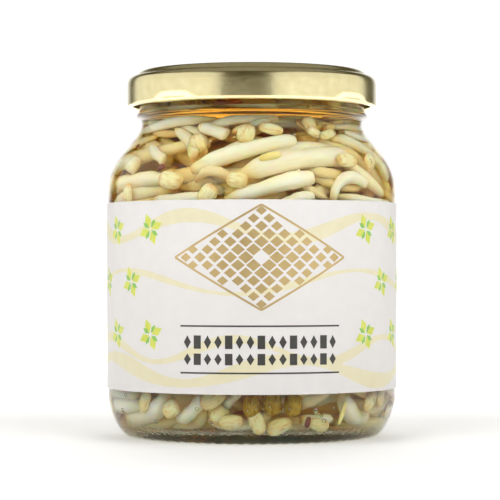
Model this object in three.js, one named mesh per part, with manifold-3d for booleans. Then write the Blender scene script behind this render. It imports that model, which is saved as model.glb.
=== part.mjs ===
// A jar of bean sprouts in brine: a moulded glass jar with a paper label, a pressed
// tinplate twist-off lid with its sealing liner, the brine, and the sprouts. Thirty or so
// sprouts and beans lie singly against the glass, and the rest are one tangle.
// Millimetres, +Z up. The origin is the middle of the base, on the surface the jar stands on.
// The front is -Y. An angle round the jar is in degrees from the front, positive towards +X.
import * as THREE from "three";
import { mergeVertices } from "three/addons/utils/BufferGeometryUtils.js";
import Module from "manifold-3d";

const wasm = await Module();
wasm.setup();

// Jar
const BODY_R = 40;
const WALL = 2.3;
const RING_INNER_R = 31.6;
const RING_OUTER_R = 34.5;
const PUSH_UP = 1.6;
const FLOOR_Z = 3.4;
const HEEL_TOP = 10.5;
const SHOULDER_Z = 68;
const NECK_R = 30.7;
const NECK_Z = 86.8;
const BORE_R = 28.4;
const BEAD_R = 32.2;
const BEAD_Z = 89;
const FINISH_R = 31.4;
const LIP_Z = 98.9;
const ROUND_SIDES = 36;
const CURVE_STEPS = 5;

// Twist-off lid
const LID_R = 34.67;
const LID_BOTTOM = 91.3;
const LID_TOP = 101.4;
const PANEL_Z = 100.3;
const TIN = 0.35;
const BUTTON_R = 9;

// Threads and lugs, which share one lead
const LEADS = 4;
const LEAD_PER_DEG = 0.0229;
const LUG_FIRST = -38;
const LUG_WIDE = 24;
const LUG_INNER_R = 31.95;
const LUG_TOP = 92.4;
const THREAD_R = 32.9;
const THREAD_FROM = -14;
const THREAD_TO = 44;
const THREAD_TALL = 1.8;
const RUN_OUT_DEG = 7;
const BAR_STEP_DEG = 8;

// Label
const LABEL_BOTTOM = 13.6;
const LABEL_TOP = 64.6;
const LABEL_GAP_DEG = 20;
const LABEL_THICK = 0.25;
const LABEL_CLEAR = 0.1;

// Brine, and the plain hole in it that the sprouts stand in
const BRINE_Z = 93.6;
const CLEAR = 0.3;
const FILM = 0.8;
const HOLE_INSET = CLEAR + FILM;
const BRINE_SIDES = 32;
const SPROUT_INSET = HOLE_INSET + CLEAR + 0.1;

// Sprouts
const STEM_SIDES = 6;
const HEAD_LONG = 3;
const HEAD_HALF = 2.2;
const HEAD_ROOM = 2.6;
const LEAF_THICK = 1.35;
const LEAF_OPEN_DEG = 14;
const BEAN_R = 2.3;
const BEAN_LONG = 3.1;
const LAYER_DEPTH = 4.6;
const CORE_INSET = 8;
const CORE_TOP = 80;
const CORE_SIDES = 16;
const RULED = 15;
const TANGLE = 53;
const SPREAD_DEG = 137.5;
const SEED = 7;

const RAD = Math.PI / 180;
const UP = new THREE.Vector3(0, 0, 1);

// A closed geometry as a solid, turned right side out.
function toSolid(geometry) {
  const bare = geometry.index ? geometry.toNonIndexed() : geometry.clone();
  bare.deleteAttribute("normal");
  bare.deleteAttribute("uv");
  const merged = mergeVertices(bare, 1e-4);
  const position = merged.getAttribute("position").array;
  const corners = new Uint32Array(merged.index.array);
  const faces = [];
  for (let i = 0; i < corners.length; i += 3) {
    const [a, b, c] = corners.subarray(i, i + 3);
    if (a !== b && b !== c && c !== a) faces.push(a, b, c);
  }
  const make = (triVerts) =>
    new wasm.Manifold(
      new wasm.Mesh({ numProp: 3, vertProperties: position, triVerts }),
    );
  const made = make(new Uint32Array(faces));
  if (made.volume() > 0) return made;
  return make(new Uint32Array(faces.reverse()));
}

// A solid back as a geometry, without scraps that a cut left loose.
function toGeometry(solid) {
  const biggest = solid
    .decompose()
    .reduce((a, b) => (a.volume() > b.volume() ? a : b));
  const mesh = biggest.getMesh();
  const geometry = new THREE.BufferGeometry();
  const position = new THREE.BufferAttribute(mesh.vertProperties.slice(), 3);
  geometry.setAttribute("position", position);
  geometry.setIndex(new THREE.BufferAttribute(mesh.triVerts.slice(), 1));
  geometry.computeVertexNormals();
  return geometry;
}

const part = new THREE.Group();

function addPiece(name, solid, look) {
  const material = new THREE.MeshStandardMaterial(look);
  const mesh = new THREE.Mesh(toGeometry(solid), material);
  mesh.name = name;
  part.add(mesh);
}

// A profile of [radius, height] points, turned round the jar's axis.
function turned(points, sides) {
  const profile = points.map(([r, z]) => new THREE.Vector2(r, z));
  return toSolid(new THREE.LatheGeometry(profile, sides).rotateX(Math.PI / 2));
}

// Points of a curve in the profile plane, without its first one.
function along(curve, steps) {
  return curve
    .getPoints(steps)
    .slice(1)
    .map((p) => [p.x, p.y]);
}

const flat = (r, z) => new THREE.Vector2(r, z);

// A place at an angle from the front, a radius and a height.
function place(angle, r, z) {
  const a = angle * RAD;
  return new THREE.Vector3(r * Math.sin(a), -r * Math.cos(a), z);
}

// The heel swells from the bearing ring to the straight body, and the shoulder draws in
// to the neck in one S.
const heel = new THREE.QuadraticBezierCurve(
  flat(RING_OUTER_R, 0),
  flat(38.35, 2.35),
  flat(BODY_R, HEEL_TOP),
);
const shoulder = new THREE.CubicBezierCurve(
  flat(BODY_R, SHOULDER_Z),
  flat(BODY_R, SHOULDER_Z + 10),
  flat(NECK_R, NECK_Z - 4.9),
  flat(NECK_R, NECK_Z),
);
const insideShoulder = new THREE.CubicBezierCurve(
  flat(BODY_R - WALL, SHOULDER_Z - 1),
  flat(BODY_R - WALL, SHOULDER_Z + 8.2),
  flat(BORE_R, NECK_Z - 6.2),
  flat(BORE_R, NECK_Z - 0.3),
);
const insideHeel = new THREE.QuadraticBezierCurve(
  flat(30.5, FLOOR_Z),
  flat(37.1, FLOOR_Z + 0.4),
  flat(BODY_R - WALL, HEEL_TOP + 1),
);

// The inside of the glass from the floor to the bore, as [radius, height] points.
function insideProfile() {
  return [
    [0, FLOOR_Z + 0.8],
    [18, FLOOR_Z + 0.5],
    [30.5, FLOOR_Z],
    ...along(insideHeel, CURVE_STEPS),
    [BODY_R - WALL, SHOULDER_Z - 1],
    ...along(insideShoulder, CURVE_STEPS),
  ];
}

// One ridge or lug: a bar of a given section bent round the axis, rising with the lead.
// section is [radius, height] points. reach gives how far it stands out along its run.
function bentBar(section, centre, from, to, reach) {
  const shape = new THREE.Shape(section.map(([r, z]) => flat(r, z)));
  const steps = Math.ceil((to - from) / BAR_STEP_DEG);
  const bar = new THREE.ExtrudeGeometry(shape, {
    depth: to - from,
    steps,
    bevelEnabled: false,
  });
  const position = bar.getAttribute("position");
  const root = section[0][0];
  for (let i = 0; i < position.count; i++) {
    const turn = from + position.getZ(i);
    const r = root + (position.getX(i) - root) * reach(turn);
    const p = place(centre + turn, r, position.getY(i) + LEAD_PER_DEG * turn);
    position.setXYZ(i, p.x, p.y, p.z);
  }
  return toSolid(bar);
}

const lugCentre = (k) => LUG_FIRST + (k * 360) / LEADS;

// Glass jar: base, heel, body, shoulder, neck, bead, finish and lip in one turned piece,
// with a thread ridge standing over each lug.
function makeJar() {
  const bead = [
    [31.2, BEAD_Z - 1.1],
    [BEAD_R - 0.2, BEAD_Z - 0.6],
    [BEAD_R, BEAD_Z],
    [BEAD_R - 0.3, BEAD_Z + 0.7],
    [31.3, BEAD_Z + 1.1],
  ];
  const lip = [
    [FINISH_R, LIP_Z - 1],
    [FINISH_R - 0.7, LIP_Z],
    [BORE_R + 0.9, LIP_Z],
    [BORE_R, LIP_Z - 0.9],
  ];
  const body = turned(
    [
      [0, PUSH_UP + 0.5],
      [20, PUSH_UP],
      [RING_INNER_R - 1, 0.8],
      [RING_INNER_R, 0],
      [RING_OUTER_R, 0],
      ...along(heel, 3),
      [BODY_R, SHOULDER_Z],
      ...along(shoulder, 6),
      ...bead,
      ...lip,
      ...insideProfile().reverse(),
    ],
    ROUND_SIDES,
  );
  const underside = LUG_TOP + CLEAR;
  const section = [
    [FINISH_R - 1, underside],
    [THREAD_R - 0.3, underside],
    [THREAD_R, underside + 0.4],
    [THREAD_R - 0.5, underside + THREAD_TALL * 0.8],
    [FINISH_R - 1, underside + THREAD_TALL],
  ];
  const runOut = (turn) => {
    const near = Math.min(turn - THREAD_FROM, THREAD_TO - turn);
    return 0.35 + 0.65 * Math.min(1, near / RUN_OUT_DEG);
  };
  let jar = body;
  for (let k = 0; k < LEADS; k++)
    jar = jar.add(
      bentBar(section, lugCentre(k), THREAD_FROM, THREAD_TO, runOut),
    );
  return jar;
}

// Lid: one sheet of tinplate pressed into a button, a panel, a raised ring and a skirt
// whose lower edge is rolled in, and is pressed further in at each lug.
function makeLid() {
  const shell = turned(
    [
      [0, PANEL_Z - 0.15],
      [BUTTON_R, PANEL_Z + 0.25],
      [BUTTON_R + 1.4, PANEL_Z],
      [27.4, PANEL_Z],
      [28.4, LID_TOP - 0.3],
      [29.2, LID_TOP],
      [30.5, LID_TOP],
      [31.3, LID_TOP - 0.4],
      [32.2, 100.1],
      [33.6, 99.7],
      [34.5, 98.6],
      [LID_R, 97.4],
      [LID_R, 92],
      [LID_R - 0.4, LID_BOTTOM],
      [LID_R - 1, LID_BOTTOM + 0.1],
      [LID_R - 1, LID_BOTTOM + 1],
      [LID_R - TIN, LID_BOTTOM + 1.3],
      [LID_R - TIN, 97.4],
      [34.15, 98.4],
      [33.4, 99.3],
      [32, 99.7],
      [30.9, LID_TOP - 0.4 - TIN],
      [29, LID_TOP - TIN],
      [27.8, PANEL_Z - TIN],
      [BUTTON_R + 1.4, PANEL_Z - TIN],
      [BUTTON_R, PANEL_Z + 0.25 - TIN],
      [0, PANEL_Z - 0.15 - TIN],
    ],
    ROUND_SIDES,
  );
  const section = [
    [LID_R - 0.6, LUG_TOP - 0.7],
    [LUG_INNER_R, LUG_TOP - 0.7],
    [LUG_INNER_R, LUG_TOP],
    [LID_R - 0.6, LUG_TOP],
  ];
  let lid = shell;
  for (let k = 0; k < LEADS; k++) {
    const half = LUG_WIDE / 2;
    lid = lid.add(bentBar(section, lugCentre(k), -half, half, () => 1));
  }
  return lid;
}

// Liner: the soft ring in the lid's channel that the lip is pressed into.
function makeLiner() {
  const bottom = LIP_Z + 0.1;
  return turned(
    [
      [27.9, bottom],
      [32.4, bottom],
      [32.4, bottom + 0.3],
      [30.6, LID_TOP - TIN - 0.6],
      [29.4, LID_TOP - TIN - 0.35],
      [27.9, bottom + 0.6],
      [27.9, bottom],
    ],
    ROUND_SIDES,
  );
}

// Label: a paper wrap round the straight body, open by a narrow gap at the back.
function makeLabel() {
  const tall = LABEL_TOP - LABEL_BOTTOM;
  const sweep = 360 - LABEL_GAP_DEG;
  const steps = Math.round(sweep / (360 / ROUND_SIDES));
  const sheet = new THREE.BoxGeometry(sweep, LABEL_THICK, tall, steps, 1, 1);
  const position = sheet.getAttribute("position");
  const middle = (LABEL_TOP + LABEL_BOTTOM) / 2;
  const inner = BODY_R + LABEL_CLEAR + LABEL_THICK / 2;
  for (let i = 0; i < position.count; i++) {
    const r = inner - position.getY(i);
    const p = place(position.getX(i), r, middle + position.getZ(i));
    position.setXYZ(i, p.x, p.y, p.z);
  }
  return toSolid(sheet);
}

// The largest radius at a height that stays a given distance inside the glass.
const guide = insideProfile();
const guidePoints = [];
for (let i = 3; i < guide.length; i++) {
  const [r0, z0] = guide[i - 1];
  const [r1, z1] = guide[i];
  const pieces = Math.ceil(Math.hypot(r1 - r0, z1 - z0) / 0.5);
  for (let k = 1; k <= pieces; k++) {
    const t = k / pieces;
    guidePoints.push([r0 + (r1 - r0) * t, z0 + (z1 - z0) * t]);
  }
}
function roomRadius(z, inset) {
  let room = BODY_R;
  for (const [r, h] of guidePoints) {
    const off = Math.abs(h - z);
    if (off < inset) room = Math.min(room, r - Math.sqrt(inset ** 2 - off ** 2));
  }
  return room;
}

// Brine: the liquid between the sprouts and the glass, with one plain hole for them.
function makeBrine() {
  const floor = FLOOR_Z + CLEAR;
  const heights = [9.5, 66, 70, 74.5, 78.5, 81, 83.2, 86.6];
  const wallAt = (inset, low) =>
    [...low, ...heights].map((z) => [roomRadius(z, inset), z]);
  return turned(
    [
      [0, floor + 0.8],
      [29, floor + 0.2],
      ...wallAt(CLEAR, [4.6, 6.4]),
      [BORE_R - CLEAR, BRINE_Z],
      [BORE_R - HOLE_INSET, BRINE_Z],
      ...wallAt(HOLE_INSET, [5, 5.8, 7.2]).reverse(),
      [27, floor + FILM + 0.2],
      [0, floor + FILM + 0.8],
    ],
    BRINE_SIDES,
  );
}

// The run of a sprout: a curve through places [angle, height, how much deeper] at a given
// distance inside the glass.
function runOf(places, inset) {
  const points = places.map(([a, z, deeper = 0]) =>
    place(a, roomRadius(z, inset + deeper), z),
  );
  return new THREE.CatmullRomCurve3(points, false, "catmullrom", 0.5);
}

// How thick a sprout is along its run, as [share of its girth, share of its length]: a thin
// root, a plump stem and a slimmer neck. Those of the tangle have fewer rings and sides.
const STEM_FORM = [
  [0, 0],
  [0.3, 0],
  [0.4, 0.1],
  [0.9, 0.24],
  [1, 0.42],
  [1, 0.6],
  [0.95, 0.78],
  [0.75, 0.95],
  [0, 1],
];
const PLAIN_FORM = [
  [0, 0],
  [0.45, 0.04],
  [1, 0.3],
  [1, 0.6],
  [0.8, 0.9],
  [0, 1],
];
function thickness(t) {
  for (let i = 1; i < STEM_FORM.length; i++) {
    const [w0, t0] = STEM_FORM[i - 1];
    const [w1, t1] = STEM_FORM[i];
    if (t <= t1 && t1 > t0) return w0 + ((w1 - w0) * (t - t0)) / (t1 - t0);
  }
  return 0;
}

// Directions at a place on a run: along it, away from the axis, and sideways.
function frameAt(curve, t) {
  const forward = curve.getTangentAt(t);
  const at = curve.getPointAt(t);
  const outward = new THREE.Vector3(at.x, at.y, 0).normalize();
  outward.addScaledVector(forward, -outward.dot(forward)).normalize();
  const side = new THREE.Vector3().crossVectors(forward, outward);
  return { at, forward, outward, side };
}

// A stem turned straight, then bent along its run.
function stemSolid(curve, girth, form, sides) {
  const profile = form.map(([w, t]) => flat(w * girth, t));
  const stem = new THREE.LatheGeometry(profile, sides);
  const position = stem.getAttribute("position");
  for (let i = 0; i < position.count; i++) {
    const f = frameAt(curve, THREE.MathUtils.clamp(position.getY(i), 0, 1));
    const p = f.at
      .addScaledVector(f.outward, position.getX(i))
      .addScaledVector(f.side, position.getZ(i));
    position.setXYZ(i, p.x, p.y, p.z);
  }
  return toSolid(stem);
}

// An egg with its long way along one direction and its flat way across another.
function eggSolid(centre, f, long, wide, thick) {
  const egg = new THREE.SphereGeometry(1, 6, 4);
  const basis = new THREE.Matrix4().makeBasis(
    f.outward.clone().multiplyScalar(wide),
    f.forward.clone().multiplyScalar(long),
    f.side.clone().multiplyScalar(thick),
  );
  egg.applyMatrix4(basis.setPosition(centre));
  return toSolid(egg);
}

// The two seed halves at the end of a run, a little open.
function headSolids(curve) {
  const f = frameAt(curve, 1);
  return [-1, 1].map((hand) => {
    const open = hand * LEAF_OPEN_DEG * RAD;
    const opened = {
      outward: f.outward,
      forward: f.forward.clone().applyAxisAngle(f.outward, -open),
      side: f.side.clone().applyAxisAngle(f.outward, -open),
    };
    const centre = f.at
      .clone()
      .addScaledVector(f.forward, HEAD_LONG * 0.35)
      .addScaledVector(f.side, hand * LEAF_THICK * 0.72);
    return eggSolid(centre, opened, HEAD_LONG, HEAD_HALF, LEAF_THICK);
  });
}

const reachOf = (girth, head) => Math.max(girth, head ? HEAD_ROOM : 0);

function sproutSolid({ places, girth, head }, inset) {
  const curve = runOf(places, inset + reachOf(girth, head));
  let made = stemSolid(curve, girth, STEM_FORM, STEM_SIDES);
  if (head) for (const half of headSolids(curve)) made = made.add(half);
  return made;
}

// Balls along a sprout that stand for the room it takes.
function roomOf({ places, girth, head }) {
  const curve = runOf(places, SPROUT_INSET + reachOf(girth, head));
  const balls = [];
  const steps = Math.ceil(curve.getLength() / 2);
  for (let k = 0; k <= steps; k++) {
    const t = k / steps;
    balls.push({ at: curve.getPointAt(t), r: Math.max(0.5, thickness(t) * girth) });
  }
  if (head) {
    const f = frameAt(curve, 1);
    const at = f.at.clone().addScaledVector(f.forward, HEAD_LONG * 0.35);
    balls.push({ at, r: HEAD_LONG });
  }
  return balls;
}

function clearOf(balls, others) {
  const gap = CLEAR + 0.1;
  return balls.every((a) =>
    others.every((b) => a.at.distanceTo(b.at) > a.r + b.r + gap),
  );
}

// Numbers from 0 to 1 that come out the same each time.
function seeded(seed) {
  let state = seed;
  return () => {
    state = (state * 1664525 + 1013904223) % 4294967296;
    return state / 4294967296;
  };
}

// Sprouts laid by hand where the front shows them, above the label and below it.
const LAID = [
  { places: [[-28, 71.9], [-15, 74.8], [-1, 76.9], [13, 78.6], [24, 79.2]], girth: 1.9 },
  { places: [[-31, 84], [-22, 82.2], [-13, 80.6]], girth: 1.8 },
  { places: [[-49, 83], [-40, 80.4], [-30, 77]], girth: 1.4, head: true },
  { places: [[12, 85.4], [5, 85.2], [-2, 82.6]], girth: 1.1, head: true },
  { places: [[-8, 70.3], [4, 72.6], [18, 74.2], [31, 74.9], [42, 75.2], [51, 75]], girth: 2.2 },
  { places: [[-12, 64.6], [-1, 66.4], [15, 69.2], [28, 70.4]], girth: 2 },
  { places: [[10, 62.3], [19, 64.6], [27, 65.6]], girth: 1.7 },
  { places: [[38, 79.4], [37, 81.4], [35, 83.6]], girth: 1, head: true },
  { places: [[45, 79.6], [56, 79.2], [66, 77.3], [75, 74], [81, 70.5]], girth: 1.8 },
  { places: [[36, 64.2], [38, 68], [43, 70.2], [50, 70.4], [57, 69]], girth: 1.3 },
  { places: [[-80, 69.4], [-66, 69.6], [-52, 70.2], [-40, 70]], girth: 1.6, head: true },
  { places: [[-60, 78], [-51, 76], [-43, 74.4]], girth: 1.2 },
  { places: [[-46, 64.8], [-34, 64.6], [-21, 65.4]], girth: 1.6 },
  { places: [[-86, 13.6], [-70, 12.8], [-57, 12.6]], girth: 2.1 },
  { places: [[-72, 7.4], [-57, 7.4], [-45, 9.6], [-38, 13.6]], girth: 2.2 },
  { places: [[-36, 7], [-27, 9], [-20, 13.2]], girth: 1.7 },
  { places: [[-4, 14.6], [-9, 12], [-13, 9.6]], girth: 1.1, head: true },
  { places: [[40, 13.8], [45, 10], [52, 7.6], [62, 7.4]], girth: 2.1 },
  { places: [[22, 7], [30, 6.9], [38, 7.1]], girth: 1.5 },
];

// Swollen beans that never sprouted, lying low at the front.
const BEANS = [[0, 10.6], [9, 11.4], [18, 11]];

// Sprouts laid by a rule round the sides and the back, each clear of those before it.
function laidByRule(random, taken) {
  const found = [];
  for (let tries = 0; tries < 3000 && found.length < RULED; tries++) {
    const low = random() < 0.36;
    const start = 62 + random() * 236;
    const height = low ? 7.6 + random() * 5 : 66 + random() * 15;
    const span = (low ? 16 : 22) + random() * 16;
    const rise = (random() - 0.5) * (low ? 5 : 9);
    const bow = (random() - 0.5) * 5;
    const girth = 1.3 + random() * 0.8;
    const head = random() < 0.45;
    const places = [0, 1, 2, 3].map((k) => {
      const t = k / 3;
      const z = height + rise * t + bow * 4 * t * (1 - t);
      return [start + span * t, THREE.MathUtils.clamp(z, 7.3, 83)];
    });
    const sprout = { places, girth, head };
    const balls = roomOf(sprout);
    if (!clearOf(balls, taken)) continue;
    taken.push(...balls);
    found.push(sprout);
  }
  return found;
}

// Where the tangle's sprouts lie: some low, some behind the label, some in the shoulder,
// and some that rise out of the top and dip back into it.
function tangleRun(k, random) {
  const start = (k * SPREAD_DEG) % 360;
  const zone = k % 7;
  const pick = (from, to) => from + (to - from) * random();
  if (zone === 6) {
    const top = pick(82.5, 85.5);
    return [[0, 78, 7], [18, top, 2], [44, top, 1], [64, 77, 6]].map(
      ([turn, z, deeper]) => [start + turn, z, deeper],
    );
  }
  const low = zone === 0;
  const middle = zone > 0 && zone < 4;
  const height = low ? pick(10.5, 15) : middle ? pick(22, 58) : pick(65, 79);
  const span = middle ? pick(12, 50) : pick(30, 52);
  const rise = middle ? pick(-24, 24) : low ? pick(-3, 3) : pick(-9, 9);
  return [0, 1, 2, 3].map((j) => {
    const t = j / 3;
    const z = height + rise * (t - 0.5) + pick(-1.5, 1.5);
    return [start + span * t, THREE.MathUtils.clamp(z, 10.2, 84)];
  });
}

// The tangle: a core of packed sprouts, and the sprouts that stand half out of it.
function makeTangle(random) {
  const heights = [9, 12, 66, 70, 73.5, 76.5];
  let made = turned(
    [
      [0, 6.6],
      [24, 6.6],
      ...heights.map((z) => [roomRadius(z, CORE_INSET), z]),
      [17, CORE_TOP],
      [0, CORE_TOP],
    ],
    CORE_SIDES,
  );
  for (let k = 0; k < TANGLE; k++) {
    const places = tangleRun(k, random);
    const girth = 1.5 + random() * 0.6;
    const head = k % 7 === 4;
    const inset = SPROUT_INSET + LAYER_DEPTH + reachOf(girth, head);
    const curve = runOf(places, inset);
    made = made.add(stemSolid(curve, girth, PLAIN_FORM, STEM_SIDES - 1));
    if (head) for (const half of headSolids(curve)) made = made.add(half);
  }
  return made;
}

const GLASS = { color: 0xdfe8dc, roughness: 0.05, metalness: 0, transparent: true, opacity: 0.35 };
const GOLD = { color: 0xb8a85a, roughness: 0.32, metalness: 1 };
const SOFT_RING = { color: 0xe9e4d6, roughness: 0.6, metalness: 0 };
const PAPER = { color: 0xeeebe8, roughness: 0.7, metalness: 0 };
const AMBER = { color: 0xc98f35, roughness: 0.1, metalness: 0, transparent: true, opacity: 0.4 };
const CREAM = { color: 0xe9dcb8, roughness: 0.4, metalness: 0 };
const OLIVE = { color: 0x94812a, roughness: 0.35, metalness: 0 };

addPiece("jar_glass", makeJar(), GLASS);
addPiece("lid", makeLid(), GOLD);
addPiece("lid_liner", makeLiner(), SOFT_RING);
addPiece("label", makeLabel(), PAPER);
addPiece("brine", makeBrine(), AMBER);

const number = (k) => String(k + 1).padStart(2, "0");
const taken = LAID.flatMap(roomOf);
BEANS.forEach(([angle, z], k) => {
  const at = place(angle, roomRadius(z, SPROUT_INSET + BEAN_R), z);
  const outward = place(angle, 1, 0);
  const side = new THREE.Vector3().crossVectors(UP, outward);
  const f = { outward, forward: UP, side };
  const solid = eggSolid(at, f, BEAN_LONG, BEAN_R, BEAN_R);
  addPiece("bean_" + number(k), solid, OLIVE);
  taken.push({ at, r: BEAN_LONG });
});

const random = seeded(SEED);
const sprouts = [...LAID, ...laidByRule(random, taken)];
sprouts.forEach((sprout, k) => {
  const solid = sproutSolid(sprout, SPROUT_INSET);
  addPiece("sprout_" + number(k), solid, CREAM);
});
addPiece("sprout_tangle", makeTangle(random), CREAM);

export default part;
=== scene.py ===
# %% [markdown]
# # A jar of bean sprouts
#
# A glass jar with a paper label and a gold twist-off lid, packed with mung bean sprouts in
# brine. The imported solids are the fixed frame: they say where each piece is and which body
# it moves with. Each cell here dresses one piece of that frame with a finer form and a
# real finish. Lengths are written in millimetres, as a maker would, and turned into
# Blender's metres in one place.

import math

import bpy
import numpy as np
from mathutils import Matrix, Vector


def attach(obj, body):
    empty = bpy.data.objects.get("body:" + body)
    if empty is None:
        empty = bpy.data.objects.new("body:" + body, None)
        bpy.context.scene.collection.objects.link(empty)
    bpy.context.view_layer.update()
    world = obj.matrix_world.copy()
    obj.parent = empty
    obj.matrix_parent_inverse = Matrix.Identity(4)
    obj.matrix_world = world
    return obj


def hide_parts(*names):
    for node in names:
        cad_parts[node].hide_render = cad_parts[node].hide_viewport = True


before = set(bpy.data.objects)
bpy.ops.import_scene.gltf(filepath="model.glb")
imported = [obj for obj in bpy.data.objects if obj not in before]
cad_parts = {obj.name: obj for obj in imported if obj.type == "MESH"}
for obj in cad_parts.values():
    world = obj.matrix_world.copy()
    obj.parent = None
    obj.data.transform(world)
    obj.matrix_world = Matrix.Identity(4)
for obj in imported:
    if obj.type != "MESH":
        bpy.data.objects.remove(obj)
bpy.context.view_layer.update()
MM = 0.001

# %% [markdown]
# ## The camera
#
# The jar is seen from straight in front with a long lens. Its rims are nearly flat
# ellipses, and the one that is a straight line is at eye height, 46.7 mm above the floor. A
# small upward shift keeps the camera level, so the sides of the jar stay upright, which
# tilting it would not.

# %% Camera
EYE_HEIGHT, CAMERA_FAR = 46.7, 600
LENS, SENSOR = 154.6, 36
SHIFT_X, SHIFT_Y = -0.0036, 0.036

camera = bpy.data.objects.new("camera", bpy.data.cameras.new("camera"))
camera.data.lens = LENS
camera.data.sensor_width = SENSOR
camera.data.shift_x, camera.data.shift_y = SHIFT_X, SHIFT_Y
camera.location = Vector((0, -CAMERA_FAR, EYE_HEIGHT)) * MM
camera.rotation_euler = (math.radians(90), 0, 0)
bpy.context.scene.collection.objects.link(camera)
bpy.context.scene.camera = camera
print("camera at", tuple(round(v, 3) for v in camera.location), "lens", LENS)

# %% [markdown]
# ## The light
#
# Two wide softboxes stand left and right of the jar and wrap round it. The gap between
# them makes the dark band in the middle of the gold lid, so their inner edges are placed
# by angle as seen from the jar. A weaker one overhead shines on the lid's top. These three
# give the gloss, and three smaller fill lights, high up in front and behind, light the
# paper, the sprouts and the floor. Keeping the two jobs apart lets each be set alone.

# %% Softboxes
LEFT_TURN, RIGHT_TURN, SIDE_RISE = -82, 72, 4
SIDE_FAR, SIDE_WIDE, SIDE_TALL, SIDE_RADIANCE = 700, 1860, 1150, 0.86
TOP_RISE, TOP_FAR, TOP_WIDE, TOP_RADIANCE = 89, 1300, 2200, 0.2
FILL_TURNS = {"left": -48, "right": 48, "back": 180}
FILL_RISE, FILL_FAR, FILL_WIDE, FILL_TALL, FILL_RADIANCE = 36, 1100, 900, 700, 2.9
LIGHT_AIM_Z = 50


def softbox(name, turn, rise, far, wide, tall, radiance):
    """An area light at an angle round the jar and above it, facing the jar's middle."""
    light = bpy.data.lights.new(name, "AREA")
    light.shape = "RECTANGLE"
    light.size, light.size_y = wide * MM, tall * MM
    light.energy = radiance * math.pi * light.size * light.size_y
    box = bpy.data.objects.new(name, light)
    t, e = math.radians(turn), math.radians(rise)
    away = Vector((math.sin(t) * math.cos(e), -math.cos(t) * math.cos(e), math.sin(e)))
    box.location = away * far * MM + Vector((0, 0, LIGHT_AIM_Z * MM))
    box.rotation_euler = away.to_track_quat("Z", "Y").to_euler()
    bpy.context.scene.collection.objects.link(box)
    return box


for side, turn in (("left", LEFT_TURN), ("right", RIGHT_TURN)):
    box = softbox("softbox_" + side, turn, SIDE_RISE, SIDE_FAR, SIDE_WIDE, SIDE_TALL,
                  SIDE_RADIANCE)
    box.visible_diffuse = False
overhead = softbox("softbox_top", 0, TOP_RISE, TOP_FAR, TOP_WIDE, TOP_WIDE, TOP_RADIANCE)
overhead.visible_diffuse = False
for side, turn in FILL_TURNS.items():
    box = softbox("fill_" + side, turn, FILL_RISE, FILL_FAR, FILL_WIDE, FILL_TALL,
                  FILL_RADIANCE)
    box.visible_glossy = False

# %% [markdown]
# ## The room
#
# Behind the jar the room is white, and that white comes through the glass and the brine.
# Everywhere else it is dim and a little warm, which keeps the gold from looking grey. The
# world shader gets both from the direction that a ray goes in: white close to +Y, dim in
# all others. What is seen directly is white everywhere, as on a plain studio sweep.

# %% World
DIM_UNTIL, WHITE_FROM = 0.93, 0.975
DIM, WHITE = (0.07, 0.06, 0.03, 1), (1.05, 1.05, 1.05, 1)
BOUNCES = {"max_bounces": 20, "diffuse_bounces": 10, "volume_bounces": 0,
           "transmission_bounces": 12, "transparent_max_bounces": 16}


def wire(tree, *rows):
    """Joins nodes: each row is a node, its output, the next node and its input."""
    for source, output, target, socket in rows:
        tree.links.new(source.outputs[output], target.inputs[socket])


world = bpy.data.worlds.new("studio")
bpy.context.scene.world = world
world.use_nodes = True
room = world.node_tree
room.nodes.clear()
way, split, half, ramp, ray, pick, light_out, world_out = (
    room.nodes.new("ShaderNode" + kind)
    for kind in ("TexCoord", "SeparateXYZ", "Math", "ValToRGB", "LightPath", "Mix",
                 "Background", "OutputWorld"))
pick.data_type = "RGBA"
pick.inputs["B"].default_value = WHITE
dim_end, white_end = ramp.color_ramp.elements
dim_end.position, dim_end.color = DIM_UNTIL, DIM
white_end.position, white_end.color = WHITE_FROM, WHITE
half.operation = "MULTIPLY_ADD"
half.inputs[1].default_value = half.inputs[2].default_value = 0.5
wire(room, (way, "Generated", split, 0), (split, "Y", half, 0), (half, 0, ramp, 0),
     (ray, "Is Camera Ray", pick, "Factor"), (ramp, "Color", pick, "A"),
     (pick, "Result", light_out, "Color"), (light_out, 0, world_out, 0))
bpy.context.scene.view_settings.view_transform = "Standard"
tracer = bpy.context.scene.cycles
tracer.use_denoising = True
for kind, most in BOUNCES.items():
    setattr(tracer, kind, most)
print("world:", len(room.nodes), "nodes")

# %% [markdown]
# ## Helpers for forms
#
# The jar, the brine, the lid and its ring are round about one axis, so one helper turns a
# profile of radius and height into rings of points, and one rounds the corners of a
# profile first. A real edge is never dead sharp, and its small round is what catches the
# light.

# %% Turned forms
def bezier(points, steps):
    """Points along a curve given by 3 or 4 control points, without the first."""
    p = np.array(points, float)
    t = np.linspace(0, 1, steps + 1)[1:, None]
    if len(p) == 3:
        made = (1 - t) ** 2 * p[0] + 2 * t * (1 - t) * p[1] + t**2 * p[2]
    else:
        made = ((1 - t) ** 3 * p[0] + 3 * t * (1 - t) ** 2 * p[1]
                + 3 * t**2 * (1 - t) * p[2] + t**3 * p[3])
    return made.tolist()


def rounded(points, radius, steps=4):
    """A profile with each inner corner turned into a small curve."""
    p = np.array(points, float)
    made = [p[0].tolist()]
    for a, b, c in zip(p[:-2], p[1:-1], p[2:]):
        before, after = a - b, c - b
        cut = min(radius, np.hypot(*before) / 2.2, np.hypot(*after) / 2.2)
        start = b + before / np.hypot(*before) * cut
        end = b + after / np.hypot(*after) * cut
        made.append(start.tolist())
        made += bezier([start, b, end], steps)
    return made + [p[-1].tolist()]


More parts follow.
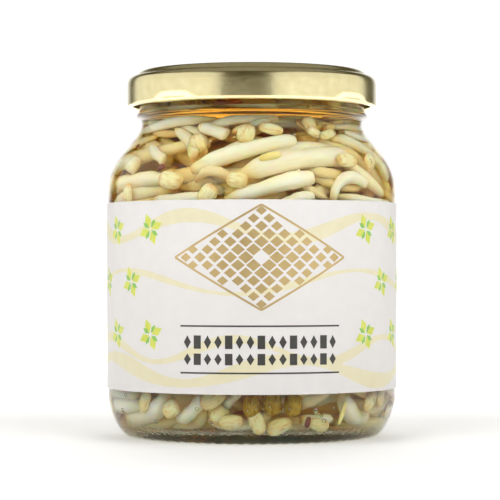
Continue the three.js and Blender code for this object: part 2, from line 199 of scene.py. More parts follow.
def turned(profile, sides, shaped=None, loop=False):
    """Points and faces of a profile turned round the axis. shaped(turn, r, z) may move
    them. A profile that starts and ends on the axis is closed by fans, and a loop joins
    its end to its start."""
    turns = np.arange(sides) * 2 * np.pi / sides
    points, rings = [], []
    count = 0
    for r, z in profile:
        if r < 1e-6:
            points.append(np.array([[0, 0, z]]))
            rings.append([count])
            count += 1
            continue
        rr, zz = np.full(sides, float(r)), np.full(sides, float(z))
        if shaped is not None:
            rr, zz = shaped(turns, rr, zz)
        points.append(np.column_stack([rr * np.sin(turns), -rr * np.cos(turns), zz]))
        rings.append(list(range(count, count + sides)))
        count += sides
    faces = []
    pairs = list(zip(rings, rings[1:])) + ([(rings[-1], rings[0])] if loop else [])
    for low, high in pairs:
        for k in range(sides):
            n = (k + 1) % sides
            if len(low) == 1:
                faces.append((low[0], high[n], high[k]))
            elif len(high) == 1:
                faces.append((low[k], low[n], high[0]))
            else:
                faces.append((low[k], low[n], high[n], high[k]))
    return np.vstack(points), faces


def add_piece(name, points, faces, material, body, nodes, sharp=None):
    """A mesh from points in millimetres, dressed, riding on its body in its nodes' place."""
    mesh = bpy.data.meshes.new(name)
    mesh.from_pydata((np.asarray(points) * MM).tolist(), [], faces)
    mesh.validate()
    mesh.materials.append(material)
    mesh.shade_smooth()
    if sharp:
        mesh.set_sharp_from_angle(angle=math.radians(sharp))
    piece = bpy.data.objects.new(name, mesh)
    bpy.context.scene.collection.objects.link(piece)
    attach(piece, body)
    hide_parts(*nodes)
    triangles = sum(len(p.vertices) - 2 for p in mesh.polygons)
    print(f"{name}: {triangles} triangles on {body}")
    return piece

# %% [markdown]
# ## Helpers for finishes
#
# No real surface is one flat colour. Several finishes here need the same two effects: a
# soft mottle between two tones, and a fine relief that breaks up the gloss. Each is built
# once as a node group with named sockets, and every material sets its own values. The
# shader itself stays in the material.

# %% Shared effects
def new_group(name, inputs, outputs):
    """A shader node group with the given (name, kind, default) sockets."""
    group = bpy.data.node_groups.new(name, "ShaderNodeTree")
    for title, kind, value in inputs:
        socket = group.interface.new_socket(
            name=title, in_out="INPUT", socket_type="NodeSocket" + kind)
        if value is not None:
            socket.default_value = value
    for title, kind in outputs:
        group.interface.new_socket(
            name=title, in_out="OUTPUT", socket_type="NodeSocket" + kind)
    start = group.nodes.new("NodeGroupInput")
    end = group.nodes.new("NodeGroupOutput")
    return group, start, end


def mottle_group():
    """Two tones in soft patches, with finer patches inside them."""
    group, start, end = new_group(
        "Mottle",
        [("Vector", "Vector", None), ("Scale", "Float", 100.0),
         ("Pale", "Color", (1, 1, 1, 1)), ("Dark", "Color", (0.5, 0.5, 0.5, 1)),
         ("Middle", "Float", 0.5), ("Softness", "Float", 0.2)],
        [("Color", "Color"), ("Mask", "Float")])
    noise, low, high, spread, mix = (
        group.nodes.new("ShaderNode" + kind)
        for kind in ("TexNoise", "Math", "Math", "MapRange", "Mix"))
    noise.inputs["Detail"].default_value = 4
    low.operation, high.operation = "SUBTRACT", "ADD"
    spread.interpolation_type = "SMOOTHSTEP"
    mix.data_type = "RGBA"
    wire(group, (start, "Vector", noise, "Vector"), (start, "Scale", noise, "Scale"),
         (start, "Middle", low, 0), (start, "Softness", low, 1),
         (start, "Middle", high, 0), (start, "Softness", high, 1),
         (noise, "Fac", spread, "Value"), (low, 0, spread, "From Min"),
         (high, 0, spread, "From Max"), (spread, 0, mix, "Factor"),
         (start, "Dark", mix, "A"), (start, "Pale", mix, "B"),
         (mix, "Result", end, "Color"), (spread, 0, end, "Mask"))
    return group


def relief_group():
    """A fine relief: stretched grain over softer waves, as a height and a gloss change."""
    group, start, end = new_group(
        "Fine relief",
        [("Vector", "Vector", None), ("Stretch", "Vector", (1, 1, 1)),
         ("Grain scale", "Float", 1000.0), ("Wave scale", "Float", 60.0),
         ("Grain share", "Float", 0.5), ("Gloss low", "Float", 0.2),
         ("Gloss high", "Float", 0.4)],
        [("Height", "Float"), ("Roughness", "Float")])
    stretch, grain, wave, mix, gloss = (
        group.nodes.new("ShaderNode" + kind)
        for kind in ("VectorMath", "TexNoise", "TexNoise", "Mix", "MapRange"))
    stretch.operation = "MULTIPLY"
    grain.inputs["Detail"].default_value = 3
    wave.inputs["Detail"].default_value = 2
    gloss.inputs["From Min"].default_value = 0.3
    gloss.inputs["From Max"].default_value = 0.7
    wire(group, (start, "Vector", stretch, 0), (start, "Stretch", stretch, 1),
         (stretch, 0, grain, "Vector"), (start, "Grain scale", grain, "Scale"),
         (start, "Vector", wave, "Vector"), (start, "Wave scale", wave, "Scale"),
         (start, "Grain share", mix, "Factor"), (wave, "Fac", mix, "A"),
         (grain, "Fac", mix, "B"), (mix, "Result", end, "Height"),
         (mix, "Result", gloss, "Value"), (start, "Gloss low", gloss, "To Min"),
         (start, "Gloss high", gloss, "To Max"), (gloss, 0, end, "Roughness"))
    return group


MOTTLE, RELIEF = mottle_group(), relief_group()


class Finish:
    """A material being built: its Principled shader, and short ways to add to it."""

    def __init__(self, name, **values):
        self.material = bpy.data.materials.new(name)
        self.material.use_nodes = True
        self.tree = self.material.node_tree
        self.shader = self.tree.nodes["Principled BSDF"]
        self.out = self.tree.nodes["Material Output"]
        self.place = self.node("ShaderNodeTexCoord").outputs["Object"]
        for title, value in values.items():
            self.shader.inputs[title.replace("_", " ")].default_value = value

    def node(self, kind, **values):
        made = self.tree.nodes.new(kind)
        for title, value in values.items():
            setattr(made, title, value)
        return made

    def group(self, group, vector=None, **values):
        made = self.node("ShaderNodeGroup")
        made.node_tree = group
        self.link(self.place if vector is None else vector, made.inputs["Vector"])
        for title, value in values.items():
            made.inputs[title.replace("_", " ")].default_value = value
        return made

    def link(self, source, target):
        self.tree.links.new(source, target)

    def wire(self, *rows):
        wire(self.tree, *rows)

    def mottled(self, **tones):
        """Two soft tones as the colour."""
        patches = self.group(MOTTLE, **tones)
        self.wire((patches, "Color", self.shader, "Base Color"))

    def relief(self, strength, depth, vector=None, **values):
        """A fine relief in the gloss and, if it has a strength, in the form."""
        lines = self.group(RELIEF, vector, **values)
        self.wire((lines, "Roughness", self.shader, "Roughness"))
        if strength:
            self.bump(lines.outputs["Height"], strength, depth)
        return lines

    def bump(self, height, strength, depth):
        """A Bump node for a relief of the given depth in millimetres."""
        bump = self.node("ShaderNodeBump")
        bump.inputs["Strength"].default_value = strength
        bump.inputs["Distance"].default_value = depth * MM
        self.link(height, bump.inputs["Height"])
        self.wire((bump, "Normal", self.shader, "Normal"))

    def lets_lamps_through(self, tint):
        """Lamps shine through as if the surface weren't there, so what is inside a clear
        wall is lit, while the eye still sees it bent and shining."""
        ray = self.node("ShaderNodeLightPath")
        clear = self.node("ShaderNodeBsdfTransparent")
        clear.inputs["Color"].default_value = tint
        mix = self.node("ShaderNodeMixShader")
        self.wire((ray, "Is Shadow Ray", mix, 0), (self.shader, 0, mix, 1),
                  (clear, 0, mix, 2), (mix, 0, self.out, "Surface"))

    def soaks_up(self, color, density):
        """An even absorption inside a closed clear piece, per metre."""
        volume = self.node("ShaderNodeVolumeAbsorption")
        volume.inputs["Color"].default_value = color
        volume.inputs["Density"].default_value = density
        self.wire((volume, 0, self.out, "Volume"))


print("node groups:", [g.name for g in bpy.data.node_groups])

# %% [markdown]
# ## The floor
#
# A plain white studio sweep, flat here because the camera is level. It is a matt white
# with the faintest mottle of painted board, so the contact shadow under the jar is soft
# and has no texture of its own. It glows a little, more so far off, as a lit sweep looks
# white to its end. It rides on no body, and is no part of the jar.

# %% Floor
FLOOR_HALF, FLOOR_DROP = 3000, 0.02
GLOW_FAR, GLOW_NEAR = 0.45, 0.12  # metres to the full glow, and the glow at the jar
white_board = Finish("white_board", Roughness=0.9, Emission_Strength=1.0)
far_off = white_board.node("ShaderNodeTexGradient", gradient_type="SPHERICAL")
smaller = white_board.node("ShaderNodeVectorMath", operation="SCALE")
smaller.inputs["Scale"].default_value = 1 / GLOW_FAR
glow = white_board.node("ShaderNodeValToRGB")
glow.color_ramp.elements[0].color = (1, 1, 1, 1)
glow.color_ramp.elements[1].color = (GLOW_NEAR, GLOW_NEAR, GLOW_NEAR, 1)
white_board.link(white_board.place, smaller.inputs[0])
white_board.wire((smaller, 0, far_off, 0), (far_off, "Fac", glow, 0),
                 (glow, "Color", white_board.shader, "Emission Color"))
white_board.mottled(Scale=3.0, Pale=(0.97, 0.97, 0.97, 1), Dark=(0.95, 0.95, 0.95, 1))
floor_mesh = bpy.data.meshes.new("floor")
corners = [(-1, -1, 0), (1, -1, 0), (1, 1, 0), (-1, 1, 0)]
floor_mesh.from_pydata((np.array(corners) * FLOOR_HALF * MM).tolist(), [], [(0, 1, 2, 3)])
floor_mesh.materials.append(white_board.material)
floor = bpy.data.objects.new("floor", floor_mesh)
floor.location.z = -FLOOR_DROP * MM
bpy.context.scene.collection.objects.link(floor)
print("floor:", FLOOR_HALF * 2 * MM, "m wide")

# %% [markdown]
# ## The glass jar
#
# The real jar is blown in a two-part mould. Its outside is exact, with a rounded heel, a
# straight body for the label, an S-shaped shoulder and a screw finish. Its inside is
# smoother, because air pushed it out. The wall is a closed solid with a true thickness, as
# only that bends light properly. One profile is turned for all of it, and the same helper
# then lifts four thread ridges, two mould seams and the knurled dots of the bearing ring.

# %% Jar sizes
BODY_R, WALL = 40, 2.3
FLOOR_Z, HEEL_TOP, SHOULDER_Z = 3.4, 10.5, 68
NECK_R, NECK_Z, BORE_R = 30.7, 86.8, 28.4
FINISH_R, LIP_Z = 31.4, 98.9
JAR_SIDES = 288
LEADS, LEAD_PER_DEG = 4, 0.0229
LUG_FIRST, LUG_TOP = -38, 92.4
THREAD_FROM, THREAD_TO, THREAD_TALL, THREAD_OUT = -14, 44, 1.8, 1.45
THREAD_FADE, THREAD_FOOT, THREAD_BACK = 6, 0.25, 0.45
KNURLS, KNURL_DEEP = 72, 0.16
SEAM_OUT, SEAM_DEG, SEAM_FROM, SEAM_TO = 0.05, 0.7, 4, 88
INSIDE_R = BODY_R - WALL
INSIDE_HEEL = [(30.5, FLOOR_Z), (37.1, FLOOR_Z + 0.4), (INSIDE_R, HEEL_TOP + 1)]
INSIDE_SHOULDER = [(INSIDE_R, SHOULDER_Z - 1), (INSIDE_R, SHOULDER_Z + 8.2),
                   (BORE_R, NECK_Z - 6.2), (BORE_R, NECK_Z - 0.3)]

heel = bezier([(34.5, 0), (38.35, 2.35), (BODY_R, HEEL_TOP)], 14)
shoulder = bezier([(BODY_R, SHOULDER_Z), (BODY_R, SHOULDER_Z + 10),
                   (NECK_R, NECK_Z - 4.9), (NECK_R, NECK_Z)], 30)
inside_floor = [[0, FLOOR_Z + 0.8], [9, FLOOR_Z + 0.72], [18, FLOOR_Z + 0.5],
                [25, FLOOR_Z + 0.2], [30.5, FLOOR_Z]]
inside = inside_floor + bezier(INSIDE_HEEL, 14)
inside += [[INSIDE_R, z] for z in (25, 45, SHOULDER_Z - 1)] + bezier(INSIDE_SHOULDER, 30)
print("inside profile:", len(inside), "points")


# %% Jar glass
def degrees_past(turns, centre):
    """How far each direction is past a centre, from -180 to 180 degrees."""
    return (np.degrees(turns) - centre + 180) % 360 - 180


def step_up(t):
    """A smooth step from 0 to 1."""
    t = np.clip(t, 0, 1)
    return t * t * (3 - 2 * t)


def jar_form(turns, r, z):
    """The ridges, seams and knurls that stand out of the turned form."""
    for k in range(LEADS):
        past = degrees_past(turns, LUG_FIRST + 360 * k / LEADS)
        run = np.clip(np.minimum(past - THREAD_FROM, THREAD_TO - past) / THREAD_FADE, 0, 1)
        up = (z - LUG_TOP - 0.3 - LEAD_PER_DEG * past) / THREAD_TALL
        ridge = step_up(up / THREAD_FOOT) * step_up((1 - up) / THREAD_BACK)
        r = r + np.where(r > FINISH_R - 0.5, THREAD_OUT * step_up(run) * ridge, 0)
    outside = r > NECK_R - 0.5
    seam = np.maximum(*(np.exp(-(degrees_past(turns, side) / SEAM_DEG) ** 2)
                        for side in (90, -90)))
    seamed = outside & (z > SEAM_FROM) & (z < SEAM_TO) & (r < BODY_R + 0.01)
    r = r + np.where(seamed, SEAM_OUT * seam, 0)
    ring = outside & (z < 0.4)
    z = z + np.where(ring, KNURL_DEEP * (0.5 - 0.5 * np.cos(KNURLS * turns)), 0)
    return np.minimum(r, BODY_R + SEAM_OUT), z


ring = rounded([[0, 2.1], [12, 1.95], [20, 1.6], [29.6, 0.9], [31.4, 0.05], [33, 0],
                [34.7, 0.1]], 0.8)[:-1]
finish_low = rounded([[NECK_R, NECK_Z], [30.75, 87.6], [31.6, 88.1], [32.2, 89],
                      [31.7, 89.9], [FINISH_R, 90.2], [FINISH_R, 91.8]], 0.4)
finish = [[FINISH_R, z] for z in np.arange(91.95, 97.4, 0.15)]
lip = rounded([[FINISH_R, 97.4], [FINISH_R, LIP_Z], [BORE_R, LIP_Z], [BORE_R, 97]], 1.1, 6)
body = [[BODY_R, z] for z in (15, 30, 45, 60, SHOULDER_Z)]
outline = ring + heel + body + shoulder + finish_low[1:] + finish + lip
outline += [[BORE_R, z] for z in (94, 91, 88.5)] + inside[::-1]
glass_points, glass_faces = turned(outline, JAR_SIDES, jar_form)
print("glass outline:", len(outline), "points")

# %% [markdown]
# Flint glass is all but clear, and what shows is a faint green where one looks along the
# wall, as at the thick base. The tint is therefore an absorption inside the solid, and the
# surface itself is colourless. Blown glass is never quite flat, so a slow wave bends the
# reflections, and the base is finely dimpled where it meets the conveyor. Specular Tint
# takes down the reflections, which are too strong where two clear solids overlap a little.

# %% Glass finish
FLINT_TINT, FLINT_DENSITY, FLINT_IOR = (0.45, 0.7, 0.3, 1), 22, 1.51
DIMPLES_FADE, DIMPLES_FULL, DIMPLE_SCALE = 5.2, 3.6, 1250

flint = Finish("flint_glass", Base_Color=(1, 1, 1, 1), IOR=FLINT_IOR, Transmission_Weight=1.0,
               Roughness=0.0, Specular_Tint=(0.24, 0.24, 0.24, 1))
split_place = flint.node("ShaderNodeSeparateXYZ")
dimples = flint.node("ShaderNodeTexVoronoi")
low = flint.node("ShaderNodeMapRange", interpolation_type="SMOOTHSTEP")
dimple_height = flint.node("ShaderNodeMath", operation="MULTIPLY")
both = flint.node("ShaderNodeMath", operation="ADD")
dimples.inputs["Scale"].default_value = DIMPLE_SCALE
low.inputs["From Min"].default_value = DIMPLES_FADE * MM
low.inputs["From Max"].default_value = DIMPLES_FULL * MM
waves = flint.relief(0, 0, Grain_scale=300.0, Wave_scale=45.0, Grain_share=0.08,
                     Gloss_low=0.0, Gloss_high=0.03)
for node in (split_place, dimples):
    flint.link(flint.place, node.inputs["Vector"])
flint.wire((split_place, "Z", low, "Value"), (dimples, "Distance", dimple_height, 0),
           (low, 0, dimple_height, 1), (dimple_height, 0, both, 0),
           (waves, "Height", both, 1))
flint.bump(both.outputs[0], 0.3, 0.16)
flint.lets_lamps_through((0.97, 0.98, 0.965, 1))
flint.soaks_up(FLINT_TINT, FLINT_DENSITY)
add_piece("flint_jar", glass_points, glass_faces, flint.material, "jar",
          ["jar_glass"])

# %% [markdown]
# ## The brine
#
# Pale amber liquor fills the jar up into the neck, behind the lid's skirt, and takes its
# colour from the sprouts. It is a closed body that reaches a hair into the glass, so no air
# gap shows between them, and its top curls up where it wets the wall. The amber is an
# absorption: sprouts against the glass look cream, and those further in look golden brown,
# with no painting of either. Small bubbles cling to the glass near the base and under the
# shoulder, and are cavities in the liquid.

# %% Brine body
BRINE_Z, MENISCUS, WET_IN = 93.2, 0.4, 0.03
BRINE_SIDES = 144
BUBBLE_ROWS, BUBBLE_SIDES, BUBBLE_OFF = 6, 10, 0.25


def wall_radius(z):
    """Radius of the glass's inside at a height, for the straight part and the curves."""
    radii, heights = zip(*inside[len(inside_floor) - 1:], (BORE_R, LIP_Z))
    return float(np.interp(z, heights, radii))


liquid = [[r, z - WET_IN] for r, z in inside_floor]
liquid += [[r + WET_IN, z] for r, z in inside[len(inside_floor):]]
liquid += [[BORE_R + WET_IN, BRINE_Z + MENISCUS]]
liquid += [[BORE_R - 0.25, BRINE_Z + 0.25], [BORE_R - 0.8, BRINE_Z + 0.1],
           [BORE_R - 1.8, BRINE_Z], [14, BRINE_Z], [0, BRINE_Z]]
brine_points, brine_faces = turned(liquid, BRINE_SIDES)


def bubble(angle, z, size):
    """A round cavity against the glass, so its faces look inward."""
    t = math.radians(angle)
    r = wall_radius(z) - size - BUBBLE_OFF
    at = np.array([r * math.sin(t), -r * math.cos(t), z])
    bows = [math.pi * k / BUBBLE_ROWS for k in range(BUBBLE_ROWS + 1)]
    profile = [[size * math.sin(bow), -size * math.cos(bow)] for bow in bows]
    profile[0][0] = profile[-1][0] = 0
    points, faces = turned(profile, BUBBLE_SIDES)
    return points + at, [f[::-1] for f in faces]


# Angle from the front, height and radius of each bubble.
BUBBLES = [(1.5, 10.5, 0.75), (4.6, 10.2, 0.6), (-1.5, 9.6, 0.5), (7.2, 10.6, 0.55),
           (12.6, 9.7, 0.7), (15.4, 10.0, 0.5), (27, 9.3, 0.8), (29.5, 8.1, 0.5),
           (31.5, 6.6, 0.6), (35.2, 9.9, 0.45), (-17, 6.4, 0.5), (-44, 6.2, 0.6),
           (-22.5, 9.8, 0.45), (58, 11.2, 0.6), (-62, 12.4, 0.55), (19.5, 72.2, 0.5),
           (-20, 79.4, 0.5), (-8.5, 80.6, 0.4), (22, 81.5, 0.5), (-66, 81.5, 0.45)]
spread = np.random.default_rng(21)
BUBBLES += [(spread.uniform(62, 298), spread.choice([spread.uniform(6, 12),
             spread.uniform(68, 82)]), spread.uniform(0.35, 0.7)) for _ in range(34)]
for angle, z, size in BUBBLES:
    more, more_faces = bubble(angle, z, size)
    offset = len(brine_points)
    brine_points = np.vstack([brine_points, more])
    brine_faces += [tuple(i + offset for i in f) for f in more_faces]
print("bubbles:", len(BUBBLES))

# %% Brine finish
AMBER_TINT, AMBER_DENSITY, AMBER_IOR = (0.985, 0.78, 0.1, 1), 75, 1.34

amber = Finish("amber_brine", Base_Color=(1, 1, 1, 1), IOR=AMBER_IOR, Transmission_Weight=1.0,
               Roughness=0.0, Specular_Tint=(0.05, 0.05, 0.05, 1))
amber.relief(0, 0, Grain_scale=200.0, Wave_scale=80.0, Grain_share=0.1, Gloss_low=0.0,
             Gloss_high=0.02)
amber.lets_lamps_through((1, 1, 1, 1))
amber.soaks_up(AMBER_TINT, AMBER_DENSITY)
add_piece("amber_liquor", brine_points, brine_faces, amber.material, "jar",
          ["brine"])

# %% [markdown]
# ## Where the sprouts lie
#
# A mung sprout is a plump pale stem 30 to 50 mm long, a thin root at one end and the two
# halves of the bean at the other. In the jar they lie mostly level, bent round the wall.
# The solids already fix where the single sprouts and the big runs of the tangle are: a
# place is an angle from the front, a height, and how much deeper it lies than the wall
# allows. The same curve through those places is worked out here again, so that each finer
# sprout keeps its place.

# %% Room inside the glass
FACETS = 5
CLEAR, FILM = 0.3, 0.8
SPROUT_INSET = CLEAR + FILM + CLEAR + 0.1
HEAD_LONG, HEAD_HALF, HEAD_ROOM, LEAF_THICK, LEAF_OPEN_DEG = 3, 2.2, 2.6, 1.35, 14
BEAN_R, BEAN_LONG = 2.3, 3.1
LAYER_DEPTH = 4.6
WALL_STEP = 0.5

guide = [INSIDE_HEEL[0]] + bezier(INSIDE_HEEL, FACETS)
guide += [INSIDE_SHOULDER[0]] + bezier(INSIDE_SHOULDER, FACETS)
wall_points = []
for a, b in zip(np.array(guide[:-1]), np.array(guide[1:])):
    pieces = math.ceil(np.hypot(*(b - a)) / WALL_STEP)
    wall_points += [a + (b - a) * k / pieces for k in range(1, pieces + 1)]
wall_points = np.array(wall_points)


def room_radius(z, inset):
    """The largest radius at a height that stays an inset away from the glass."""
    if z > NECK_Z:
        return BORE_R - inset
    off = np.abs(wall_points[:, 1] - z)
    near = off < inset
    if not near.any():
        return BODY_R
    reach = wall_points[near, 0] - np.sqrt(inset**2 - off[near] ** 2)
    return min(BODY_R, float(reach.min()))


def place(angle, r, z):
    """A point at an angle from the front, a radius and a height."""
    t = math.radians(angle)
    return np.array([r * math.sin(t), -r * math.cos(t), z])


class Run:
    """A smooth curve through places, measured along its length from 0 to 1."""

    def __init__(self, places, inset):
        knots = np.array([place(a, room_radius(z, inset + sum(deeper)), z)
                          for a, z, *deeper in places])
        self.knots = np.vstack([2 * knots[0] - knots[1], knots, 2 * knots[-1] - knots[-2]])
        self.spans = len(knots) - 1
        self.marks = np.linspace(0, 1, 201)
        gaps = np.linalg.norm(np.diff(self.at_mark(self.marks), axis=0), axis=1)
        self.lengths = np.concatenate([[0], np.cumsum(gaps)])
        self.length = float(self.lengths[-1])

    def at_mark(self, marks):
        t = np.asarray(marks, float) * self.spans
        i = np.minimum(t.astype(int), self.spans - 1)
        u = (t - i)[..., None]
        p0, p1, p2, p3 = (self.knots[i + k] for k in range(4))
        m1, m2 = 0.5 * (p2 - p0), 0.5 * (p3 - p1)
        return (2 * p1 - 2 * p2 + m1 + m2) * u**3 + (3 * p2 - 3 * p1 - 2 * m1 - m2) * u**2 \
            + m1 * u + p1

    def mark(self, share):
        return np.interp(np.asarray(share, float) * self.length, self.lengths, self.marks)

    def at(self, share):
        return self.at_mark(self.mark(share))

    def frames(self, share):
        """Points, and the directions along the run, away from the axis and sideways."""
        marks = self.mark(share)
        ahead = self.at_mark(np.clip(marks + 1e-4, 0, 1))
        forward = ahead - self.at_mark(np.clip(marks - 1e-4, 0, 1))
        forward /= np.linalg.norm(forward, axis=-1, keepdims=True)
        at = self.at_mark(marks)
        out = at * [1, 1, 0]
        out /= np.linalg.norm(out, axis=-1, keepdims=True)
        out -= forward * (out * forward).sum(-1, keepdims=True)
        out /= np.linalg.norm(out, axis=-1, keepdims=True)
        return at, forward, out, np.cross(forward, out)


print("room at heights:", [(z, round(room_radius(z, SPROUT_INSET), 2)) for z in (5, 40, 80)])

# %% [markdown]
# The front of the jar was laid sprout by sprout: above the label a few long stems
# slope up to the right, one hooks over at the right, and pairs of seed halves look out
# between them. Below the label three swollen green beans lie among short thick stems. The
# sides and the back follow a rule with seeded numbers, and so do the runs of the tangle.
# Each row here is a girth, whether the sprout has its seed halves, and its places.

# %% The single sprouts
LAID = [
    (1.9, False, [(-28, 71.9), (-15, 74.8), (-1, 76.9), (13, 78.6), (24, 79.2)]),
    (1.8, False, [(-31, 84), (-22, 82.2), (-13, 80.6)]),
    (1.4, True, [(-49, 83), (-40, 80.4), (-30, 77)]),
    (1.1, True, [(12, 85.4), (5, 85.2), (-2, 82.6)]),
    (2.2, False, [(-8, 70.3), (4, 72.6), (18, 74.2), (31, 74.9), (42, 75.2), (51, 75)]),
    (2, False, [(-12, 64.6), (-1, 66.4), (15, 69.2), (28, 70.4)]),
    (1.7, False, [(10, 62.3), (19, 64.6), (27, 65.6)]),
    (1, True, [(38, 79.4), (37, 81.4), (35, 83.6)]),
    (1.8, False, [(45, 79.6), (56, 79.2), (66, 77.3), (75, 74), (81, 70.5)]),
    (1.3, False, [(36, 64.2), (38, 68), (43, 70.2), (50, 70.4), (57, 69)]),
    (1.6, True, [(-80, 69.4), (-66, 69.6), (-52, 70.2), (-40, 70)]),
    (1.2, False, [(-60, 78), (-51, 76), (-43, 74.4)]),
    (1.6, False, [(-46, 64.8), (-34, 64.6), (-21, 65.4)]),
    (2.1, False, [(-86, 13.6), (-70, 12.8), (-57, 12.6)]),
    (2.2, False, [(-72, 7.4), (-57, 7.4), (-45, 9.6), (-38, 13.6)]),
    (1.7, False, [(-36, 7), (-27, 9), (-20, 13.2)]),
    (1.1, True, [(-4, 14.6), (-9, 12), (-13, 9.6)]),
    (2.1, False, [(40, 13.8), (45, 10), (52, 7.6), (62, 7.4)]),
    (1.5, False, [(22, 7), (30, 6.9), (38, 7.1)]),
]
BEANS = [(0, 10.6), (9, 11.4), (18, 11)]
RULED, RULED_TRIES, RULED_FROM, RULED_OVER = 15, 3000, 62, 236
LOW_SHARE, HEAD_SHARE = 0.36, 0.45
TANGLE, SPREAD_DEG, SEED = 53, 137.5, 7
THIRDS = (0, 1 / 3, 2 / 3, 1)
NEAR = 6.5  # balls further apart than this can't touch
FINE_FORM = np.array([(0, 0), (0.36, 0.01), (0.5, 0.07), (0.9, 0.17), (1, 0.3), (1, 0.72),
                      (0.94, 0.93), (0.72, 0.985), (0, 1)])
BLUNT_FORM = np.array([(0, 0), (0.5, 0.01), (0.72, 0.06), (0.95, 0.2), (1, 0.5), (0.97, 0.8),
                       (0.86, 0.94), (0.6, 0.985), (0, 1)])
STEM_FORM = np.array([(0, 0), (0.3, 0), (0.4, 0.1), (0.9, 0.24), (1, 0.42), (1, 0.6),
                      (0.95, 0.78), (0.75, 0.95), (0, 1)])


def seeded(state):
    """Numbers from 0 to 1 that come out the same each time."""
    while True:
        state = (state * 1664525 + 1013904223) % 4294967296
        yield state / 4294967296


def reach_of(girth, head):
    return max(girth, HEAD_ROOM if head else 0)


def plain_width(share):
    """The plain form's width at a share of the length, for the room a sprout takes."""
    for (w0, t0), (w1, t1) in zip(STEM_FORM[:-1], STEM_FORM[1:]):
        if share <= t1 and t1 > t0:
            return w0 + (w1 - w0) * (share - t0) / (t1 - t0)
    return 0.0


def room_of(girth, head, places, inset=SPROUT_INSET, step=2.0):
    """Centres and radii of balls along a sprout."""
    run = Run(places, inset + reach_of(girth, head))
    steps = math.ceil(run.length / step)
    shares = np.arange(steps + 1) / steps
    centres = run.at(shares)
    radii = np.array([max(0.5, plain_width(s) * girth) for s in shares])
    if head:
        at, forward, _, _ = run.frames(np.array([1.0]))
        centres = np.vstack([centres, at + forward * HEAD_LONG * 0.35])
        radii = np.append(radii, HEAD_LONG)
    return centres, radii


def clear_of(centres, radii, taken, squeeze=1.0, gap=CLEAR + 0.1):
    """Whether balls stay clear of those already there. Soft sprouts may squeeze."""
    low, high = centres.min(0) - NEAR, centres.max(0) + NEAR
    near = ((taken[0] > low) & (taken[0] < high)).all(1)
    apart = np.linalg.norm(centres[:, None] - taken[0][near][None], axis=2)
    return bool((apart > (radii[:, None] + taken[1][near][None]) * squeeze + gap).all())


def add_room(taken, centres, radii):
    return np.vstack([taken[0], centres]), np.append(taken[1], radii)


taken = (np.empty((0, 3)), np.empty(0))
for girth, head, places in LAID:
    taken = add_room(taken, *room_of(girth, head, places))
for angle, z in BEANS:
    at = place(angle, room_radius(z, SPROUT_INSET + BEAN_R), z)
    taken = add_room(taken, at[None], np.array([BEAN_LONG]))

chance = seeded(SEED)
ruled = []
for _ in range(RULED_TRIES):
    if len(ruled) == RULED:
        break
    draws = [next(chance) for _ in range(8)]
    low = draws[0] < LOW_SHARE
    start = RULED_FROM + draws[1] * RULED_OVER
    height = 7.6 + draws[2] * 5 if low else 66 + draws[2] * 15
    span = (16 if low else 22) + draws[3] * 16
    rise = (draws[4] - 0.5) * (5 if low else 9)
    bow = (draws[5] - 0.5) * 5
    girth = 1.3 + draws[6] * 0.8
    head = draws[7] < HEAD_SHARE
    places = [(start + span * t, min(83, max(7.3, height + rise * t + bow * 4 * t * (1 - t))))
              for t in THIRDS]
    balls = room_of(girth, head, places)
    if clear_of(*balls, taken):
        taken = add_room(taken, *balls)
        ruled.append((girth, head, places))
singles = LAID + ruled
print("single sprouts:", len(singles), "balls:", len(taken[1]))


# %% The tangle's runs
def tangle_places(k):
    """The run of one of the tangle's sprouts: low, behind the label, high, or crowning."""
    start = (k * SPREAD_DEG) % 360
    zone = k % 7
    if zone == 6:
        top = 82.5 + 3 * next(chance)
        return [(start, 78, 7), (start + 18, top, 2), (start + 44, top, 1),
                (start + 64, 77, 6)]
    heights, spans, rises = (22, 58), (12, 50), (-24, 24)
    if zone == 0:
        heights, spans, rises = (10.5, 15), (30, 52), (-3, 3)
    elif zone > 3:
        heights, spans, rises = (65, 79), (30, 52), (-9, 9)
    height, span, rise = (a + (b - a) * next(chance)
                          for a, b in (heights, spans, rises))
    made = []
    for t in THIRDS:
        z = height + rise * (t - 0.5) - 1.5 + 3 * next(chance)
        made.append((start + span * t, min(84, max(10.2, z))))
    return made


tangle = []
for k in range(TANGLE):
    places = tangle_places(k)
    tangle.append((1.5 + next(chance) * 0.6, k % 7 == 4, places))
for girth, head, places in tangle:
    taken = add_room(taken, *room_of(girth, head, places, SPROUT_INSET + LAYER_DEPTH))
print("tangle runs:", len(tangle))

# %% [markdown]
# ## Filling the jar
#
# A jar of this size holds a few hundred sprouts, so the places between the fixed ones are
# filled by trial: a sprout is laid at random in one layer after another from the glass
# inwards, and it stays only if it has room. Each sprout stands in the test as a row of
# balls. Real ones are soft and press into each other, so the balls may too, and their ends
# dive inwards. Seed halves that came off lie flat against the glass between them.

# %% Loose seed halves
# Angle from the front, height, tilt in degrees, half length and half width.
LOOSE = [(-3, 81.4, 84, 3.1, 2.4), (-27, 78.8, 118, 3.0, 2.2), (-36, 69.8, 172, 3.6, 2.2),
         (34, 82, 150, 2.4, 1.6), (42, 81.4, 20, 3.0, 1.6), (46, 74.6, 178, 3.6, 1.8),
         (-16, 12.6, 35, 3.7, 2.5), (-9, 6.6, 5, 3.3, 2.0), (12, 5.6, 20, 3.4, 2.0),
         (30, 5.8, 170, 3.2, 1.7), (-84, 9.4, 100, 3.6, 2.2), (66, 12.5, 60, 3.2, 2.1)]
for angle, z, _, long, wide in LOOSE:
    at = place(angle, room_radius(z, 0.5 + wide * 0.6), z)
    taken = add_room(taken, at[None], np.array([(long + wide) * 0.45]))
print("loose seed halves laid by hand:", len(LOOSE))

